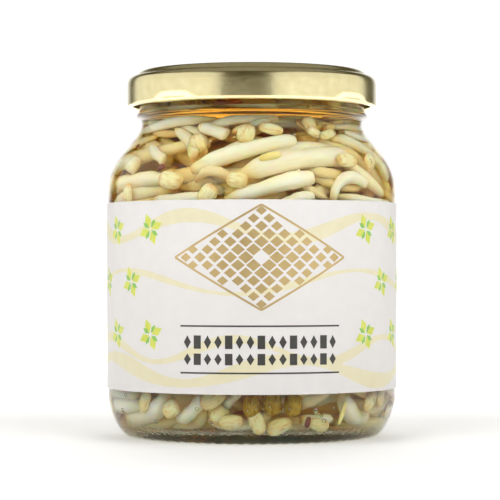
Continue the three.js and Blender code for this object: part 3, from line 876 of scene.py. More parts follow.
# %% Filler sprouts
SQUEEZE, TOP_OF_PACK = 0.74, 86.4
LAYERS = (0.5, 2.6, 5, 8, 11.5, 15.5)
HALF_ROOM, HALF_INSET, FILL_INSET, FILL_CORE_R = 2.2, 1.8, 0.4, 6.0
# Each row is tries, heights, lengths, girths, the most tilt and the share with seed halves.
ABOVE = [(500, (63, 86), (30, 48), (1.6, 2.3), 26, 0.15),
         (500, (63, 87), (18, 30), (1.5, 2.1), 30, 0.3)]
BELOW = [(300, (5.5, 15), (24, 40), (1.5, 2.2), 14, 0.15),
         (300, (5.5, 15), (14, 24), (1.4, 2.0), 30, 0.3)]
BEHIND = [(300, (16, 62), (28, 46), (1.5, 2.2), 35, 0.2)]
CROWN = [(160, (83, 86), (14, 30), (1.3, 2.0), 7, 0.3)]
ON_BASE = [(120, (5, 8), (18, 34), (1.3, 2.0), 6, 0.3)]
HIGH_GAPS = [(360, (63, 85), (11, 20), (1.2, 1.8), 35, 0.15)]
LOW_GAPS = [(160, (6, 15), (10, 18), (1.2, 1.8), 30, 0.15)]
ROOTS = [(60, (5, 85), (10, 26), (0.25, 0.42), 45, 0.0)]
picker = np.random.default_rng(11)
fillers = []


def scatter_halves(tries, heights):
    """Loose seed halves at random against the glass, where there is room."""
    global taken
    for _ in range(tries):
        angle, z, tilt = (picker.uniform(*span) for span in ((0, 360), heights, (0, 180)))
        at, room = place(angle, room_radius(z, HALF_INSET), z)[None], np.array([HALF_ROOM])
        if clear_of(at, room, taken, SQUEEZE, 0.0):
            taken = add_room(taken, at, room)
            LOOSE.append((angle, z, tilt, picker.uniform(2.7, 3.4), picker.uniform(1.8, 2.4)))


def fill(depth, tries, heights, lengths, girths, tilt, head_share):
    """Lays sprouts at random in one layer and keeps those that have room."""
    global taken
    kept = 0
    for _ in range(tries):
        girth = picker.uniform(*girths)
        head = picker.random() < head_share
        long = picker.uniform(*lengths)
        lean = math.radians(picker.uniform(-tilt, tilt))
        height = picker.uniform(*heights)
        inset = FILL_INSET + depth
        r = max(FILL_CORE_R, room_radius(height, inset + girth))
        span = math.degrees(long * math.cos(lean) / r) * picker.choice([-1, 1])
        start = picker.uniform(0, 360)
        bow, dive = picker.uniform(-3, 3), picker.uniform(0.5, 3.6)
        places = []
        for t in (0, 0.33, 0.67, 1):
            z = height + long * math.sin(lean) * (t - 0.5) + bow * 4 * t * (1 - t)
            z = min(heights[1] + 3, TOP_OF_PACK, max(heights[0] - 3, FLOOR_Z + 0.9 + girth, z))
            places.append((start + span * t, z, dive * (abs(t - 0.5) > 0.3)))
        centres, radii = room_of(girth, head, places, inset, 2.4)
        if clear_of(centres, radii, taken, SQUEEZE, 0.0):
            taken = add_room(taken, centres, radii)
            fillers.append((girth, head, places, inset))
            kept += 1
    return kept


def pack(depth, rows):
    """Fills one layer by every row, and says how many sprouts were kept."""
    return sum(fill(depth, *row) for row in rows)


for depth in LAYERS:
    print("layer", depth, "top", pack(depth, ABOVE), "low", pack(depth, BELOW))
for zone, rows, depths in (
        ("behind the label", BEHIND, (0, 3.6)), ("crown", CROWN, (1, 5, 10, 16)),
        ("on the base", ON_BASE, (8, 14, 20)), ("high gaps", HIGH_GAPS, (1.5, 3.2)),
        ("low gaps", LOW_GAPS, (1.2, 3))):
    print(zone + ":", [pack(depth, rows) for depth in depths])
scatter_halves(24, (64, 84))
scatter_halves(30, (6, 15))
strands = len(fillers)
pack(2.4, ROOTS)
print("fillers:", strands, "loose roots:", len(fillers) - strands,
      "loose halves:", len(LOOSE))

# %% [markdown]
# ## The form of one sprout
#
# A stem is rings of points round its run. It is thin and crooked at the root, plump in the
# middle, a little oval, and never quite even. The seed half is an egg cut flat on its inner
# side, with shallow grooves along its back. Both are made by one helper each and joined to
# one mesh, which also carries three facts for the finish: how far along the sprout a point
# lies, its place in the grain, and a tone of its own for each sprout.

# %% Stems and seed halves
SLIM_FORM = np.array([(0, 0), (0.55, 0.03), (1, 0.2), (1, 0.7), (0.6, 0.95), (0, 1)])
STEM, HALF, LEAF, COAT, FLECK = range(5)
ROOT_GIRTH, FINE_TONE, LATE_TONE = 0.6, 0.4, 0.72
HALF_BLUNT, GROOVES, GROOVE_DEEP = 0.62, 9, 0.09
GRAIN_SHIFT = 50  # moves the pattern of one sprout far from the next one's


def outward(points, faces):
    """The faces of a closed form, turned to look outward."""
    p = np.asarray(points) - np.mean(points, axis=0)
    fans = np.array([(f[0], f[k], f[k + 1]) for f in faces for k in range(1, len(f) - 1)])
    a, b, c = p[fans[:, 0]], p[fans[:, 1]], p[fans[:, 2]]
    volume = (a * np.cross(b, c)).sum()
    return faces if volume > 0 else [f[::-1] for f in faces]


class Growth:
    """Points, faces and facts of many plant pieces, gathered into one mesh."""

    def __init__(self):
        self.points, self.faces, self.kinds = [], [], []
        self.along, self.tone, self.grain = [], [], []
        self.count = 0

    def add(self, points, faces, kind, along, tone, grain):
        self.points.append(points)
        self.faces += [tuple(i + self.count for i in f) for f in faces]
        self.kinds += [kind] * len(faces)
        self.along.append(along)
        self.tone.append(np.full(len(points), tone))
        self.grain.append(grain)
        self.count += len(points)


def tube_faces(rings, sides):
    """Faces of a tube of rings, closed by a point at each end."""
    last = 1 + rings * sides
    faces = []
    for k in range(sides):
        n = (k + 1) % sides
        faces.append((0, 1 + n, 1 + k))
        for j in range(rings - 1):
            a = 1 + j * sides
            faces.append((a + k, a + n, a + sides + n, a + sides + k))
        a = 1 + (rings - 1) * sides
        faces.append((a + k, a + n, last))
    return faces


def add_stem(growth, run, girth, form, rings, sides, tone, rough):
    """A stem along a run, with a crooked root end and an uneven, slightly oval section."""
    shares = 0.5 - 0.5 * np.cos(np.pi * (np.arange(rings) + 0.6) / (rings + 0.2))
    at, _, out, side = run.frames(shares)
    width = np.maximum(np.interp(shares, form[:, 1], form[:, 0]) * girth, 0.12)
    phase = tone * 40
    wobble = 1 + rough * (np.sin(shares * 11 + phase) + 0.5 * np.sin(shares * 27 - phase))
    turns = np.arange(sides) * 2 * np.pi / sides
    oval = 1 + 0.07 * np.cos(2 * turns + phase) + 0.03 * np.cos(3 * turns - phase)
    radius = np.minimum((width * wobble)[:, None] * oval[None], girth * 1.04)[..., None]
    across, through = np.cos(turns)[:, None], np.sin(turns)[:, None]
    points = at[:, None] + out[:, None] * radius * across + side[:, None] * radius * through
    grain = np.empty((rings, sides, 3))
    grain[..., 0], grain[..., 1] = 2 * np.cos(turns), 2 * np.sin(turns)
    grain[..., 2] = (shares * run.length)[:, None] * 0.08
    ends = run.at(np.array([0.0, 1.0]))
    points = np.vstack([ends[:1], points.reshape(-1, 3), ends[1:]])
    grain = np.vstack([grain[0, :1], grain.reshape(-1, 3), grain[-1, :1]]) + tone * GRAIN_SHIFT
    along = np.concatenate([[0], np.repeat(shares, sides), [1]])
    faces = outward(points, tube_faces(rings, sides))
    growth.add(points, faces, STEM, along, tone, grain)


def add_half(growth, centre, axes, size, hand, rings, sides, tone, kind=HALF, hollow=0.3):
    """One half of the bean: an egg flat on the side that faces its twin, and grooved. Its
    axes are along it, across it and through it, and hand says which way its back looks."""
    forward, out, side = axes
    long, wide, thick = size
    steps = np.pi * (np.arange(rings) + 0.7) / (rings + 0.4)
    turns = np.arange(sides) * 2 * np.pi / sides
    body = np.sin(steps)[:, None] ** HALF_BLUNT
    lengthwise = -np.cos(steps)[:, None] * long * np.ones(sides)
    across = body * np.cos(turns) * wide
    ridges = 0.5 + 0.5 * np.cos(turns * GROOVES + tone * 20)
    grooves = 1 - GROOVE_DEEP * ridges * np.sqrt(body)
    depth = np.where(np.sin(turns) > 0, np.sin(turns) * grooves, np.sin(turns) * hollow)
    through = body * depth * thick * hand
    points = centre + lengthwise[..., None] * forward + across[..., None] * out \
        + through[..., None] * side
    tips = centre + np.outer([-long, long], forward)
    points = np.vstack([tips[:1], points.reshape(-1, 3), tips[1:]])
    grain = np.stack([across * 0.9, through * 0.9, lengthwise * 0.2], -1)
    grain = np.vstack([grain[0, :1], grain.reshape(-1, 3), grain[-1, :1]]) + tone * GRAIN_SHIFT
    along = np.concatenate([[0], np.repeat(0.5 - 0.5 * np.cos(steps), sides), [1]])
    growth.add(points, outward(points, tube_faces(rings, sides)), kind, along, tone, grain)


def turned_about(vector, axis, degrees):
    """A direction turned about another."""
    a = math.radians(degrees)
    return (vector * math.cos(a) + np.cross(axis, vector) * math.sin(a)
            + axis * np.dot(axis, vector) * (1 - math.cos(a)))


def add_head(growth, run, rings, sides, tone, leaf):
    """The two halves at the end of a stem, a little open, and at times a first leaf."""
    at, forward, out, side = (v[0] for v in run.frames(np.array([1.0])))
    roll = 20 + 90 * ((tone * 7) % 1)
    out, side = (turned_about(v, forward, roll) for v in (out, side))
    for hand in (-1, 1):
        opened = [turned_about(v, out, -hand * LEAF_OPEN_DEG) for v in (forward, side)]
        centre = at + forward * HEAD_LONG * 0.35 + side * hand * LEAF_THICK * 0.5
        add_half(growth, centre, (opened[0], out, opened[1]),
                 (HEAD_LONG, HEAD_HALF, LEAF_THICK * 1.25), hand, rings, sides,
                 (tone * 1.7 + 0.3 * hand) % 1)
    if leaf:
        tip = at + forward * HEAD_LONG * 1.15
        add_half(growth, tip, (forward, out, side), (2.1, 1.2, 0.5), 1, rings, sides,
                 tone, LEAF, 0.6)


def add_loose_half(growth, spec, sides, tone, kind=HALF):
    """A seed half on its own, with its round back against the glass."""
    angle, z, tilt, long, wide = spec
    lean, t = math.radians(tilt), math.radians(angle)
    out, level = place(angle, 1, 0), np.array([math.cos(t), math.sin(t), 0])
    rise = np.array([0, 0, 1.0])
    forward = level * math.cos(lean) + rise * math.sin(lean)
    across = rise * math.cos(lean) - level * math.sin(lean)
    thick = wide * 0.6
    at = place(angle, room_radius(z, 0.35 + thick), z)
    add_half(growth, at, (forward, across, out), (long, wide, thick), 1, sides - 4, sides,
             tone, kind)


def add_sprout(growth, spec, inset, detail, tone, plump=1.0):
    """A whole sprout. detail is (rings, sides) of its stem."""
    girth, head, places = spec
    run = Run(places, inset + reach_of(girth, head))
    rings, sides = detail
    slim, late = girth < ROOT_GIRTH, tone > LATE_TONE
    form = (SLIM_FORM if slim else BLUNT_FORM if late
            else FINE_FORM if tone > FINE_TONE else STEM_FORM)
    add_stem(growth, run, girth * plump, form, rings, sides, tone, 0.15 if slim else 0.07)
    if head:
        add_head(growth, run, max(6, rings // 2), sides + 2, tone, late)


def grown_piece(name, growth, materials, nodes):
    """The gathered growth as one piece that carries its facts to the finish."""
    piece = add_piece(name, np.vstack(growth.points), growth.faces, materials[0], "jar",
                      nodes)
    mesh = piece.data
    for more in materials[1:]:
        mesh.materials.append(more)
    mesh.polygons.foreach_set("material_index", np.array(growth.kinds, np.int32))
    for title, values in (("along", growth.along), ("tone", growth.tone)):
        mesh.attributes.new(title, "FLOAT", "POINT").data.foreach_set(
            "value", np.concatenate(values).astype(np.float32))
    mesh.attributes.new("grain", "FLOAT_VECTOR", "POINT").data.foreach_set(
        "vector", np.vstack(growth.grain).astype(np.float32).ravel())
    return piece


print("a stem of", len(tube_faces(14, 8)), "faces")

# %% [markdown]
# ## The finish of the sprouts
#
# Sprout flesh is mostly water. Light goes a few millimetres in and comes back warm, so the
# shader scatters under the surface and the outside stays bright and soft. On top of
# that lie fine lines along the stem, a tan root end, a creamier neck, and a tone that
# differs from sprout to sprout, read from the three facts that the mesh carries. The seed
# halves are yellower, with brown patches along them and at their tips.

# %% Plant finishes
def plant_finish(name, stops, spots, rough, scatter, relief):
    """A moist plant skin. stops are (place along, colour), spots are a scale, a share and a
    colour that darken it, rough is the range of its gloss, and the rest is in millimetres."""
    skin = Finish(name, Subsurface_Weight=0.75, IOR=1.38)
    skin.shader.inputs["Subsurface Scale"].default_value = scatter * MM
    skin.shader.inputs["Subsurface Radius"].default_value = (1.0, 0.62, 0.3)
    grain = skin.node("ShaderNodeAttribute", attribute_name="grain").outputs["Vector"]
    along = skin.node("ShaderNodeAttribute", attribute_name="along").outputs["Fac"]
    tone = skin.node("ShaderNodeAttribute", attribute_name="tone").outputs["Fac"]
    ramp = skin.node("ShaderNodeValToRGB")
    while len(ramp.color_ramp.elements) < len(stops):
        ramp.color_ramp.elements.new(0.5)
    for element, (position, color) in zip(ramp.color_ramp.elements, stops):
        element.position, element.color = position, (*color, 1)
    skin.link(along, ramp.inputs[0])
    patches = skin.group(MOTTLE, grain, Scale=spots[0], Middle=spots[1], Softness=0.16,
                         Pale=(1, 1, 1, 1), Dark=(*spots[2], 1))
    toned = skin.node("ShaderNodeMix", data_type="RGBA", blend_type="MULTIPLY")
    toned.inputs["Factor"].default_value = 1
    spread = skin.node("ShaderNodeValToRGB")
    spread.color_ramp.elements[0].color = (0.86, 0.75, 0.55, 1)
    spread.color_ramp.elements[1].position = 0.3
    spread.color_ramp.elements[1].color = (0.98, 0.96, 0.9, 1)
    spread.color_ramp.elements.new(0.75).color = (1, 1, 1, 1)
    skin.link(tone, spread.inputs[0])
    final = skin.node("ShaderNodeMix", data_type="RGBA", blend_type="MULTIPLY")
    final.inputs["Factor"].default_value = 1
    skin.wire((ramp, "Color", toned, "A"), (patches, "Color", toned, "B"),
              (toned, "Result", final, "A"), (spread, "Color", final, "B"),
              (final, "Result", skin.shader, "Base Color"))
    skin.relief(0.5, relief, grain, Stretch=(1, 1, 0.5), Grain_scale=3.2, Wave_scale=0.8,
                Grain_share=0.6, Gloss_low=rough[0], Gloss_high=rough[1])
    return skin.material


stem_skin = plant_finish(
    "sprout_stem_skin",
    [(0, (0.66, 0.46, 0.2)), (0.06, (0.88, 0.76, 0.5)), (0.2, (0.975, 0.93, 0.87)),
     (0.85, (0.98, 0.935, 0.89)), (1, (0.955, 0.88, 0.72))],
    (1.1, 0.3, (0.94, 0.83, 0.62)), (0.22, 0.4), 3.5, 0.12)
half_skin = plant_finish(
    "seed_half_skin",
    [(0, (0.8, 0.6, 0.28)), (0.3, (0.95, 0.83, 0.52)), (0.75, (0.97, 0.88, 0.6)),
     (1, (0.74, 0.52, 0.26))],
    (2.4, 0.38, (0.82, 0.6, 0.32)), (0.25, 0.45), 2.4, 0.2)
leaf_skin = plant_finish(
    "first_leaf_skin", [(0, (0.9, 0.76, 0.3)), (1, (0.94, 0.84, 0.42))],
    (2, 0.3, (0.8, 0.66, 0.3)), (0.3, 0.5), 0.8, 0.1)
coat_skin = plant_finish(
    "seed_coat_skin", [(0, (0.5, 0.36, 0.04)), (0.5, (0.62, 0.47, 0.06)),
                       (1, (0.5, 0.32, 0.05))],
    (1.6, 0.45, (0.66, 0.46, 0.3)), (0.2, 0.35), 3.0, 0.12)
fleck_skin = plant_finish(
    "torn_coat_skin", [(0, (0.2, 0.06, 0.05)), (1, (0.32, 0.1, 0.07))],
    (3, 0.4, (0.5, 0.3, 0.3)), (0.25, 0.4), 0.5, 0.12)
PLANT = [stem_skin, half_skin, leaf_skin, coat_skin, fleck_skin]
print("plant finishes:", [m.name for m in PLANT])

# %% The single sprouts and the beans
PLUMP = 1.13
SINGLE_DETAIL, RUN_DETAIL, PACKED_DETAIL, ROOT_DETAIL = (30, 14), (22, 10), (20, 10), (10, 5)
tones = np.random.default_rng(5)
for k, spec in enumerate(singles):
    growth = Growth()
    add_sprout(growth, spec, SPROUT_INSET, SINGLE_DETAIL, tones.uniform(0.4, 1), PLUMP)
    grown_piece(f"single_sprout_{k + 1:02d}", growth, PLANT,
                [f"sprout_{k + 1:02d}"])
for k, (angle, z) in enumerate(BEANS):
    growth = Growth()
    at = place(angle, room_radius(z, SPROUT_INSET + BEAN_R), z)
    out, up = place(angle, 1, 0), np.array([0, 0, 1.0])
    add_half(growth, at, (up, out, np.cross(up, out)), (BEAN_LONG, BEAN_R, BEAN_R), 1, 16,
             22, 0.35 + 0.2 * k, COAT, 1.0)
    grown_piece(f"swollen_bean_{k + 1:02d}", growth, PLANT,
                [f"bean_{k + 1:02d}"])

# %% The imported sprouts
bulk = {"tangle_runs": Growth(), "packed_sprouts": Growth(), "loose_roots": Growth()}
for spec in tangle:
    add_sprout(bulk["tangle_runs"], spec, SPROUT_INSET + LAYER_DEPTH, RUN_DETAIL,
               tones.random())
for k, (girth, head, places, inset) in enumerate(fillers):
    loose = k >= strands
    add_sprout(bulk["loose_roots" if loose else "packed_sprouts"], (girth, head, places),
               inset, ROOT_DETAIL if loose else PACKED_DETAIL,
               tones.random() * (0.4 if loose else 1))
for k, spec in enumerate(LOOSE):
    add_loose_half(bulk["packed_sprouts"], spec, 16, tones.uniform(0.3, 1))
FLECKS = [(24, 6.4, 75, 1.5, 0.8), (-41, 73, 30, 1.2, 0.7), (121, 71, 120, 1.3, 0.8),
          (71, 9, 60, 1.3, 0.7), (-68, 78.5, 20, 1.0, 0.6)]
LEAVES = [(8, 75.4, 14, 3.0, 1.1), (40, 8.4, 70, 3.2, 0.8), (150, 74.2, 30, 2.4, 0.9)]
for kind, specs in ((FLECK, FLECKS), (LEAF, LEAVES)):
    for spec in specs:
        add_loose_half(bulk["packed_sprouts"], spec, 12, 0.5, kind)
for name, growth in bulk.items():
    grown_piece(name, growth, PLANT, ["sprout_tangle"])
print("sprouts in the jar:", len(singles) + len(tangle) + strands)

# %% [markdown]
# ## The lid
#
# A twist-off lid is one disc of lacquered tinplate drawn into a shallow cup. Its edge is
# rolled into a bead inside, which is then pressed in at four lugs that grip the threads.
# The top has a raised ring, a flat panel and a round button that pops up when the seal
# breaks. It is turned as a closed sheet of true thickness, so its lip shows an edge.

# %% Lid form
LID_R, LID_BOTTOM, LID_TOP, PANEL_Z, TIN = 34.67, 91.3, 101.4, 100.3, 0.35
BUTTON_R, LUG_WIDE, LUG_IN, SKIRT_IN = 9, 24, 1.75, 0.2
LUG_TALL, ARCH_TALL, PRESS_SOFT = 2.3, 2.9, 1.8
LID_SIDES, SEAL_SIDES = 240, 144

lid_outside = rounded(
    [[0, PANEL_Z + 0.22], [5, PANEL_Z + 0.2], [BUTTON_R - 0.6, PANEL_Z + 0.05],
     [BUTTON_R, PANEL_Z - 0.12], [BUTTON_R + 1.4, PANEL_Z], [18, PANEL_Z], [27.4, PANEL_Z],
     [28.4, LID_TOP - 0.3], [29.1, LID_TOP], [30.6, LID_TOP], [31.4, LID_TOP - 0.5],
     [32.1, 100.0], [33.5, 99.75], [34.4, 98.9], [LID_R, 97.6], [LID_R, 94.2],
     [LID_R, 93.7], [LID_R, 93.2], [LID_R, 92.7], [LID_R, 92.1],
     [LID_R - 0.1, LID_BOTTOM + 0.25], [LID_R - 0.5, LID_BOTTOM]], 0.8)
curl = [[LID_R - 0.5 + 0.55 * math.sin(a) - 0.55, LID_BOTTOM + 0.6 - 0.6 * math.cos(a)]
        for a in np.radians([-20, -60, -100, -140, -180, -215])]
lid_inside = rounded(
    [[LID_R - TIN - 0.05, LID_BOTTOM + 1.35], [LID_R - TIN, 94], [LID_R - TIN, 97.4],
     [34.05, 98.6], [33.3, 99.35], [31.9, 99.6], [30.9, LID_TOP - 0.5 - TIN],
     [30.4, LID_TOP - TIN], [29.2, LID_TOP - TIN], [27.8, PANEL_Z - TIN],
     [BUTTON_R + 1.4, PANEL_Z - TIN], [BUTTON_R - 0.6, PANEL_Z + 0.05 - TIN],
     [5, PANEL_Z + 0.2 - TIN], [0, PANEL_Z + 0.22 - TIN]], 0.5)


def lid_form(turns, r, z):
    """The lugs: the rolled bead pressed in, and the skirt above it dimpled a little."""
    inner = r < LID_R - 0.75
    for k in range(LEADS):
        past = degrees_past(turns, LUG_FIRST + 360 * k / LEADS)
        press = step_up((LUG_WIDE / 2 + 2 - np.abs(past)) / 5)
        arch = ARCH_TALL * step_up((LUG_WIDE / 2 + 5 - np.abs(past)) / 12)
        tall = np.where(inner, LUG_TALL, arch)
        low = step_up((LID_BOTTOM + tall - z) / PRESS_SOFT) * (r > 31.5)
        r = r - press * low * np.where(inner, LUG_IN, SKIRT_IN)
        z = z + press * low * np.where(inner, LEAD_PER_DEG * past, 0)
    return r, z


lid_points, lid_faces = turned(lid_outside + curl + lid_inside, LID_SIDES, lid_form)
lid_faces = outward(lid_points, lid_faces)
print("lid outline:", len(lid_outside + curl + lid_inside), "points")

# %% [markdown]
# The gold is a tinted lacquer over bright tin, a little uneven in tone, and the steel's
# rolling left fine straight lines across the whole cap, skirt and all. A clear coat over a
# metal base gives the sheen, and the lines come from the shared relief stretched one way.

# %% Lid finish
gold = Finish("gold_lacquer", Metallic=1.0, Coat_Weight=0.25, Coat_Roughness=0.18)
gold.mottled(Scale=420.0, Pale=(0.89, 0.8, 0.47, 1), Dark=(0.83, 0.73, 0.39, 1),
             Softness=0.3)
gold.relief(0.3, 0.02, Stretch=(0.06, 1, 1), Grain_scale=3800.0, Wave_scale=130.0,
            Grain_share=0.55, Gloss_low=0.2, Gloss_high=0.27)
add_piece("pressed_lid", lid_points, lid_faces, gold.material, "lid",
          ["lid"])

# %% [markdown]
# ## The sealing ring
#
# Inside the lid's channel lies a ring of soft compound, poured in and baked. The lip of
# the jar is pressed into it, and leaves a groove.

# %% Sealing ring
LINER_LOW = LIP_Z + 0.1
seal = rounded([[27.9, LINER_LOW + 0.15], [28.4, LINER_LOW], [29.2, LINER_LOW + 0.12],
                [30.6, LINER_LOW + 0.12], [31.6, LINER_LOW], [32.4, LINER_LOW + 0.1],
                [32.3, LINER_LOW + 0.45], [30.7, LID_TOP - TIN - 0.65],
                [29.4, LID_TOP - TIN - 0.4], [27.9, LINER_LOW + 0.7]], 0.25)
seal_points, seal_faces = turned(seal, SEAL_SIDES, loop=True)
compound = Finish("cream_compound", IOR=1.46)
compound.mottled(Scale=160.0, Pale=(0.86, 0.84, 0.76, 1), Dark=(0.78, 0.75, 0.65, 1))
compound.relief(0.3, 0.05, Grain_scale=1500.0, Wave_scale=200.0, Grain_share=0.4,
                Gloss_low=0.4, Gloss_high=0.6)
add_piece("sealing_ring", seal_points, outward(seal_points, seal_faces),
          compound.material, "liner", ["lid_liner"])

# %% [markdown]
# ## The label
#
# One strip of coated paper is glued round the straight body and leaves a narrow gap at
# the back. It is a bent sheet with a true thickness. The print is a plain design made for
# this jar: pale waves that run level round it, rows of small pinwheels in two greens, a
# gold lozenge of small tiles in front, and rows of dark bars between two rules. Each ink is
# a thin film on the paper, so its edge stays crisp at any distance.

# %% Label sheet
LABEL_BOTTOM, LABEL_TOP, LABEL_GAP_DEG = 13.6, 64.6, 20
PAPER_INNER, PAPER_OUTER, INK_OUTER = 40.12, 40.325, 40.345
PAPER_STEP_DEG = 1.25


def wrapped(across, up, r):
    """Points of a sheet: across is millimetres along the paper from the front."""
    turn = np.asarray(across) / PAPER_OUTER
    return np.stack([r * np.sin(turn), -r * np.cos(turn), np.broadcast_to(up, turn.shape)],
                    -1)


def sheet(across, up, low_r, high_r):
    """A closed bent sheet from a grid of places on the paper."""
    rows, columns = across.shape
    front, back = wrapped(across, up, high_r), wrapped(across, up, low_r)
    points = np.vstack([front.reshape(-1, 3), back.reshape(-1, 3)])
    n = rows * columns
    faces = []
    for j in range(rows - 1):
        for i in range(columns - 1):
            a = j * columns + i
            face = (a, a + 1, a + columns + 1, a + columns)
            faces.append(face)
            faces.append(tuple(v + n for v in face[::-1]))
    rim = list(range(columns - 1))
    rim += [j * columns + columns - 1 for j in range(rows - 1)]
    rim += [(rows - 1) * columns + i for i in range(columns - 1, 0, -1)]
    rim += [j * columns for j in range(rows - 1, 0, -1)]
    for a, b in zip(rim, rim[1:] + rim[:1]):
        faces.append((b, a, a + n, b + n))
    return points, faces


half_turn = 180 - LABEL_GAP_DEG / 2
columns = int(2 * half_turn / PAPER_STEP_DEG) + 1
across = np.radians(np.linspace(-half_turn, half_turn, columns)) * PAPER_OUTER
edge = [0, 0.25, 1]
between = list(np.linspace(18, 60, 8))
heights = np.array([LABEL_BOTTOM + e for e in edge] + between
                   + [LABEL_TOP - e for e in edge[::-1]])
grid = np.broadcast_to(across, (len(heights), columns))
paper_points, paper_faces = sheet(grid, heights[:, None] + 0 * grid, PAPER_INNER, PAPER_OUTER)
print("label:", round(across[-1] - across[0], 1), "mm long")

# %% Paper finish
def paper_like(name, pale, dark, gloss, metallic=0.0):
    """Coated paper, or an ink on it: fibres show through every ink as a soft relief."""
    paper = Finish(name, Metallic=metallic, Coat_Weight=0.12, Coat_Roughness=0.3)
    paper.mottled(Scale=260.0, Pale=(*pale, 1), Dark=(*dark, 1), Softness=0.3)
    paper.relief(0.25, 0.03, Grain_scale=2600.0, Wave_scale=90.0, Grain_share=0.5,
                 Gloss_low=gloss[0], Gloss_high=gloss[1])
    return paper.material


coated = paper_like("coated_paper", (0.815, 0.79, 0.785), (0.785, 0.76, 0.755), (0.42, 0.55))
add_piece("label_paper", paper_points, outward(paper_points, paper_faces), coated, "jar",
          ["label"], sharp=30)

# %% [markdown]
# Every printed shape is a strip: a line on the paper with a width that changes along it.
# A wave is a long strip, and a tile or a pinwheel's blade is a short one with two points.
# So one helper draws the whole print.

# %% Print
INK_LOW, INK_HIGH = PAPER_OUTER - 0.015, INK_OUTER - 0.012
OVER_WAVES, OVER_ALL = 0.004, 0.006  # how far an ink stands over those under it
LANE = 0.9


class Ink:
    """Strips of one ink, gathered into one mesh."""

    def __init__(self):
        self.points, self.faces, self.count = [], [], 0

    def strip(self, line, widths, steps, over=0.0):
        """line(t) gives places on the paper, and widths(t) half the width there."""
        t = np.linspace(0, 1, steps + 1)
        centre = np.stack(line(t), -1)
        ahead = np.gradient(centre, axis=0)
        ahead /= np.linalg.norm(ahead, axis=1, keepdims=True)
        normal = np.stack([-ahead[:, 1], ahead[:, 0]], -1)
        half = np.maximum(widths(t), 0.02)
        lanes = max(2, int(np.ceil(half.max() * 2 / LANE)))
        share = np.linspace(-1, 1, lanes + 1)
        place = centre[None] + normal[None] * (half[None] * share[:, None])[..., None]
        points, faces = sheet(place[..., 0], place[..., 1], INK_LOW, INK_HIGH + over)
        self.faces += [tuple(i + self.count for i in f) for f in outward(points, faces)]
        self.points.append(points)
        self.count += len(points)

    def straight(self, a, b, half, steps=None, taper=False, over=0.0):
        """A strip from place a to place b. Its ends are square, or points if it tapers."""
        a, b = np.array(a, float), np.array(b, float)
        steps = steps or max(3, int(np.hypot(*(b - a)) / 0.8))
        widths = (lambda t: half * (1 - np.abs(2 * t - 1))) if taper else \
            (lambda t: np.full_like(t, half))
        self.strip(lambda t: (a[0] + (b[0] - a[0]) * t, a[1] + (b[1] - a[1]) * t), widths,
                   steps, over)

    def piece(self, name, material):
        add_piece(name, np.vstack(self.points), self.faces, material, "jar",
                  ["label"], sharp=30)


GOLD_AT, GOLD_HALF_WIDE, GOLD_HALF_TALL, TILE = (2.5, 49.5), 22, 12.6, 2.15
WAVE_TALL, WAVE_STEPS = 3.1, 420
# Height, half width, length of one wave and phase.
WAVES = [(19.5, 2.2, 61, 0.4), (25, 1.3, 47, 2.1), (57.5, 1.9, 53, 3.6), (43, 0.9, 71, 5.1)]
pale_ink = Ink()
paper_end = across[-1] - 1.5
for height, half, length, phase in WAVES:
    pale_ink.strip(
        lambda t: ((2 * t - 1) * paper_end,
                   height + WAVE_TALL * np.sin((2 * t - 1) * paper_end / length * 2 * np.pi
                                               + phase)),
        lambda t: half * (0.75 + 0.25 * np.sin(t * 40 + phase)), WAVE_STEPS)
PINWHEEL_ROWS = [(57, 0), (43, 8), (29, 0)]
PINWHEEL_STEP, PINWHEEL_CLEAR, PINWHEEL_TURN = 16, 29, 22
lime_ink, green_ink = Ink(), Ink()
# The ink of each blade, its turn, its length and half its width.
BLADES = [(lime_ink, 0, 4.4, 1.25), (green_ink, 0.62, 3.2, 0.7)]
for z, shift in PINWHEEL_ROWS:
    for k in range(-7, 8):
        x = GOLD_AT[0] + PINWHEEL_STEP * k + shift
        if abs(x - GOLD_AT[0]) < PINWHEEL_CLEAR or abs(x) > paper_end - 6:
            continue
        for quarter in range(4):
            a = math.radians(90 * quarter + PINWHEEL_TURN)
            for ink, turn, long, half in BLADES:
                way = np.array([math.cos(a + turn), math.sin(a + turn)])
                ink.straight((x, z) + way * 0.5, (x, z) + way * long, half, 8, True,
                             OVER_WAVES)

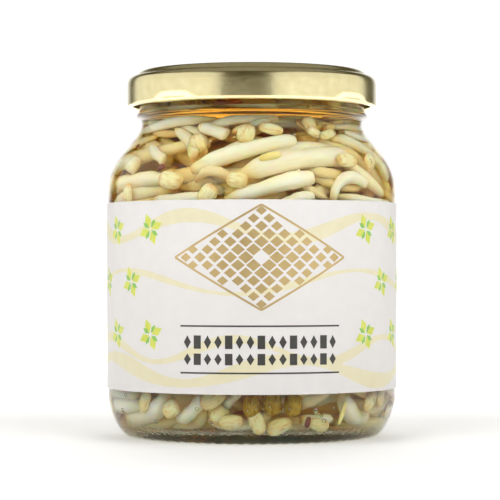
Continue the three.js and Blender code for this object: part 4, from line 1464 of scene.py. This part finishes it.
gold_ink = Ink()
for row in range(-6, 7):
    for column in range(-11, 12):
        if (row + column) % 2:
            continue
        x, z = column * TILE * 0.95, row * TILE * 0.95
        reach = abs(x) / GOLD_HALF_WIDE + abs(z) / GOLD_HALF_TALL
        if reach > 1.0 or reach < 0.12:
            continue
        size = TILE * (0.98 - 0.3 * reach)
        gold_ink.straight((GOLD_AT[0] + x - size, GOLD_AT[1] + z),
                          (GOLD_AT[0] + x + size, GOLD_AT[1] + z), size * 0.82, 6, True,
                          OVER_WAVES)
rim = [(GOLD_HALF_WIDE + 1.6, 0), (0, GOLD_HALF_TALL + 1.2), (-GOLD_HALF_WIDE - 1.6, 0),
       (0, -GOLD_HALF_TALL - 1.2)]
for a, b in zip(rim, rim[1:] + rim[:1]):
    gold_ink.straight((GOLD_AT[0] + a[0], GOLD_AT[1] + a[1]),
                      (GOLD_AT[0] + b[0], GOLD_AT[1] + b[1]), 0.28, over=OVER_WAVES)

dark_ink = Ink()
RULES, RULE_HALF_LONG, RULE_HALF = (31.5, 19.2), 22, 0.22
BAR_ROWS, BARS, BAR_STEP, BAR_HALF = ((27.3, 1.75), (22.8, 1.5)), 15, 2.85, 1.0
for z in RULES:
    dark_ink.straight((GOLD_AT[0] - RULE_HALF_LONG, z), (GOLD_AT[0] + RULE_HALF_LONG, z),
                      RULE_HALF, over=OVER_ALL)
for z, tall in BAR_ROWS:
    for k in range(BARS):
        x = GOLD_AT[0] + (k - (BARS - 1) / 2) * BAR_STEP
        dark_ink.straight((x, z - tall), (x, z + tall), BAR_HALF, 6, k % 3 != 1, OVER_ALL)
butter = paper_like("butter_ink", (0.82, 0.77, 0.55), (0.78, 0.72, 0.49), (0.4, 0.5))
lime = paper_like("lime_ink", (0.72, 0.76, 0.14), (0.62, 0.68, 0.08), (0.4, 0.5))
green = paper_like("green_ink", (0.3, 0.6, 0.12), (0.22, 0.5, 0.08), (0.4, 0.5))
foil = paper_like("gold_ink", (0.58, 0.43, 0.2), (0.5, 0.36, 0.15), (0.3, 0.42), 0.55)
charcoal = paper_like("charcoal_ink", (0.05, 0.045, 0.04), (0.03, 0.028, 0.026), (0.4, 0.5))
for name, ink, material in (("print_waves", pale_ink, butter), ("print_lime", lime_ink, lime),
                            ("print_green", green_ink, green), ("print_gold", gold_ink, foil),
                            ("print_rules", dark_ink, charcoal)):
    ink.piece(name, material)
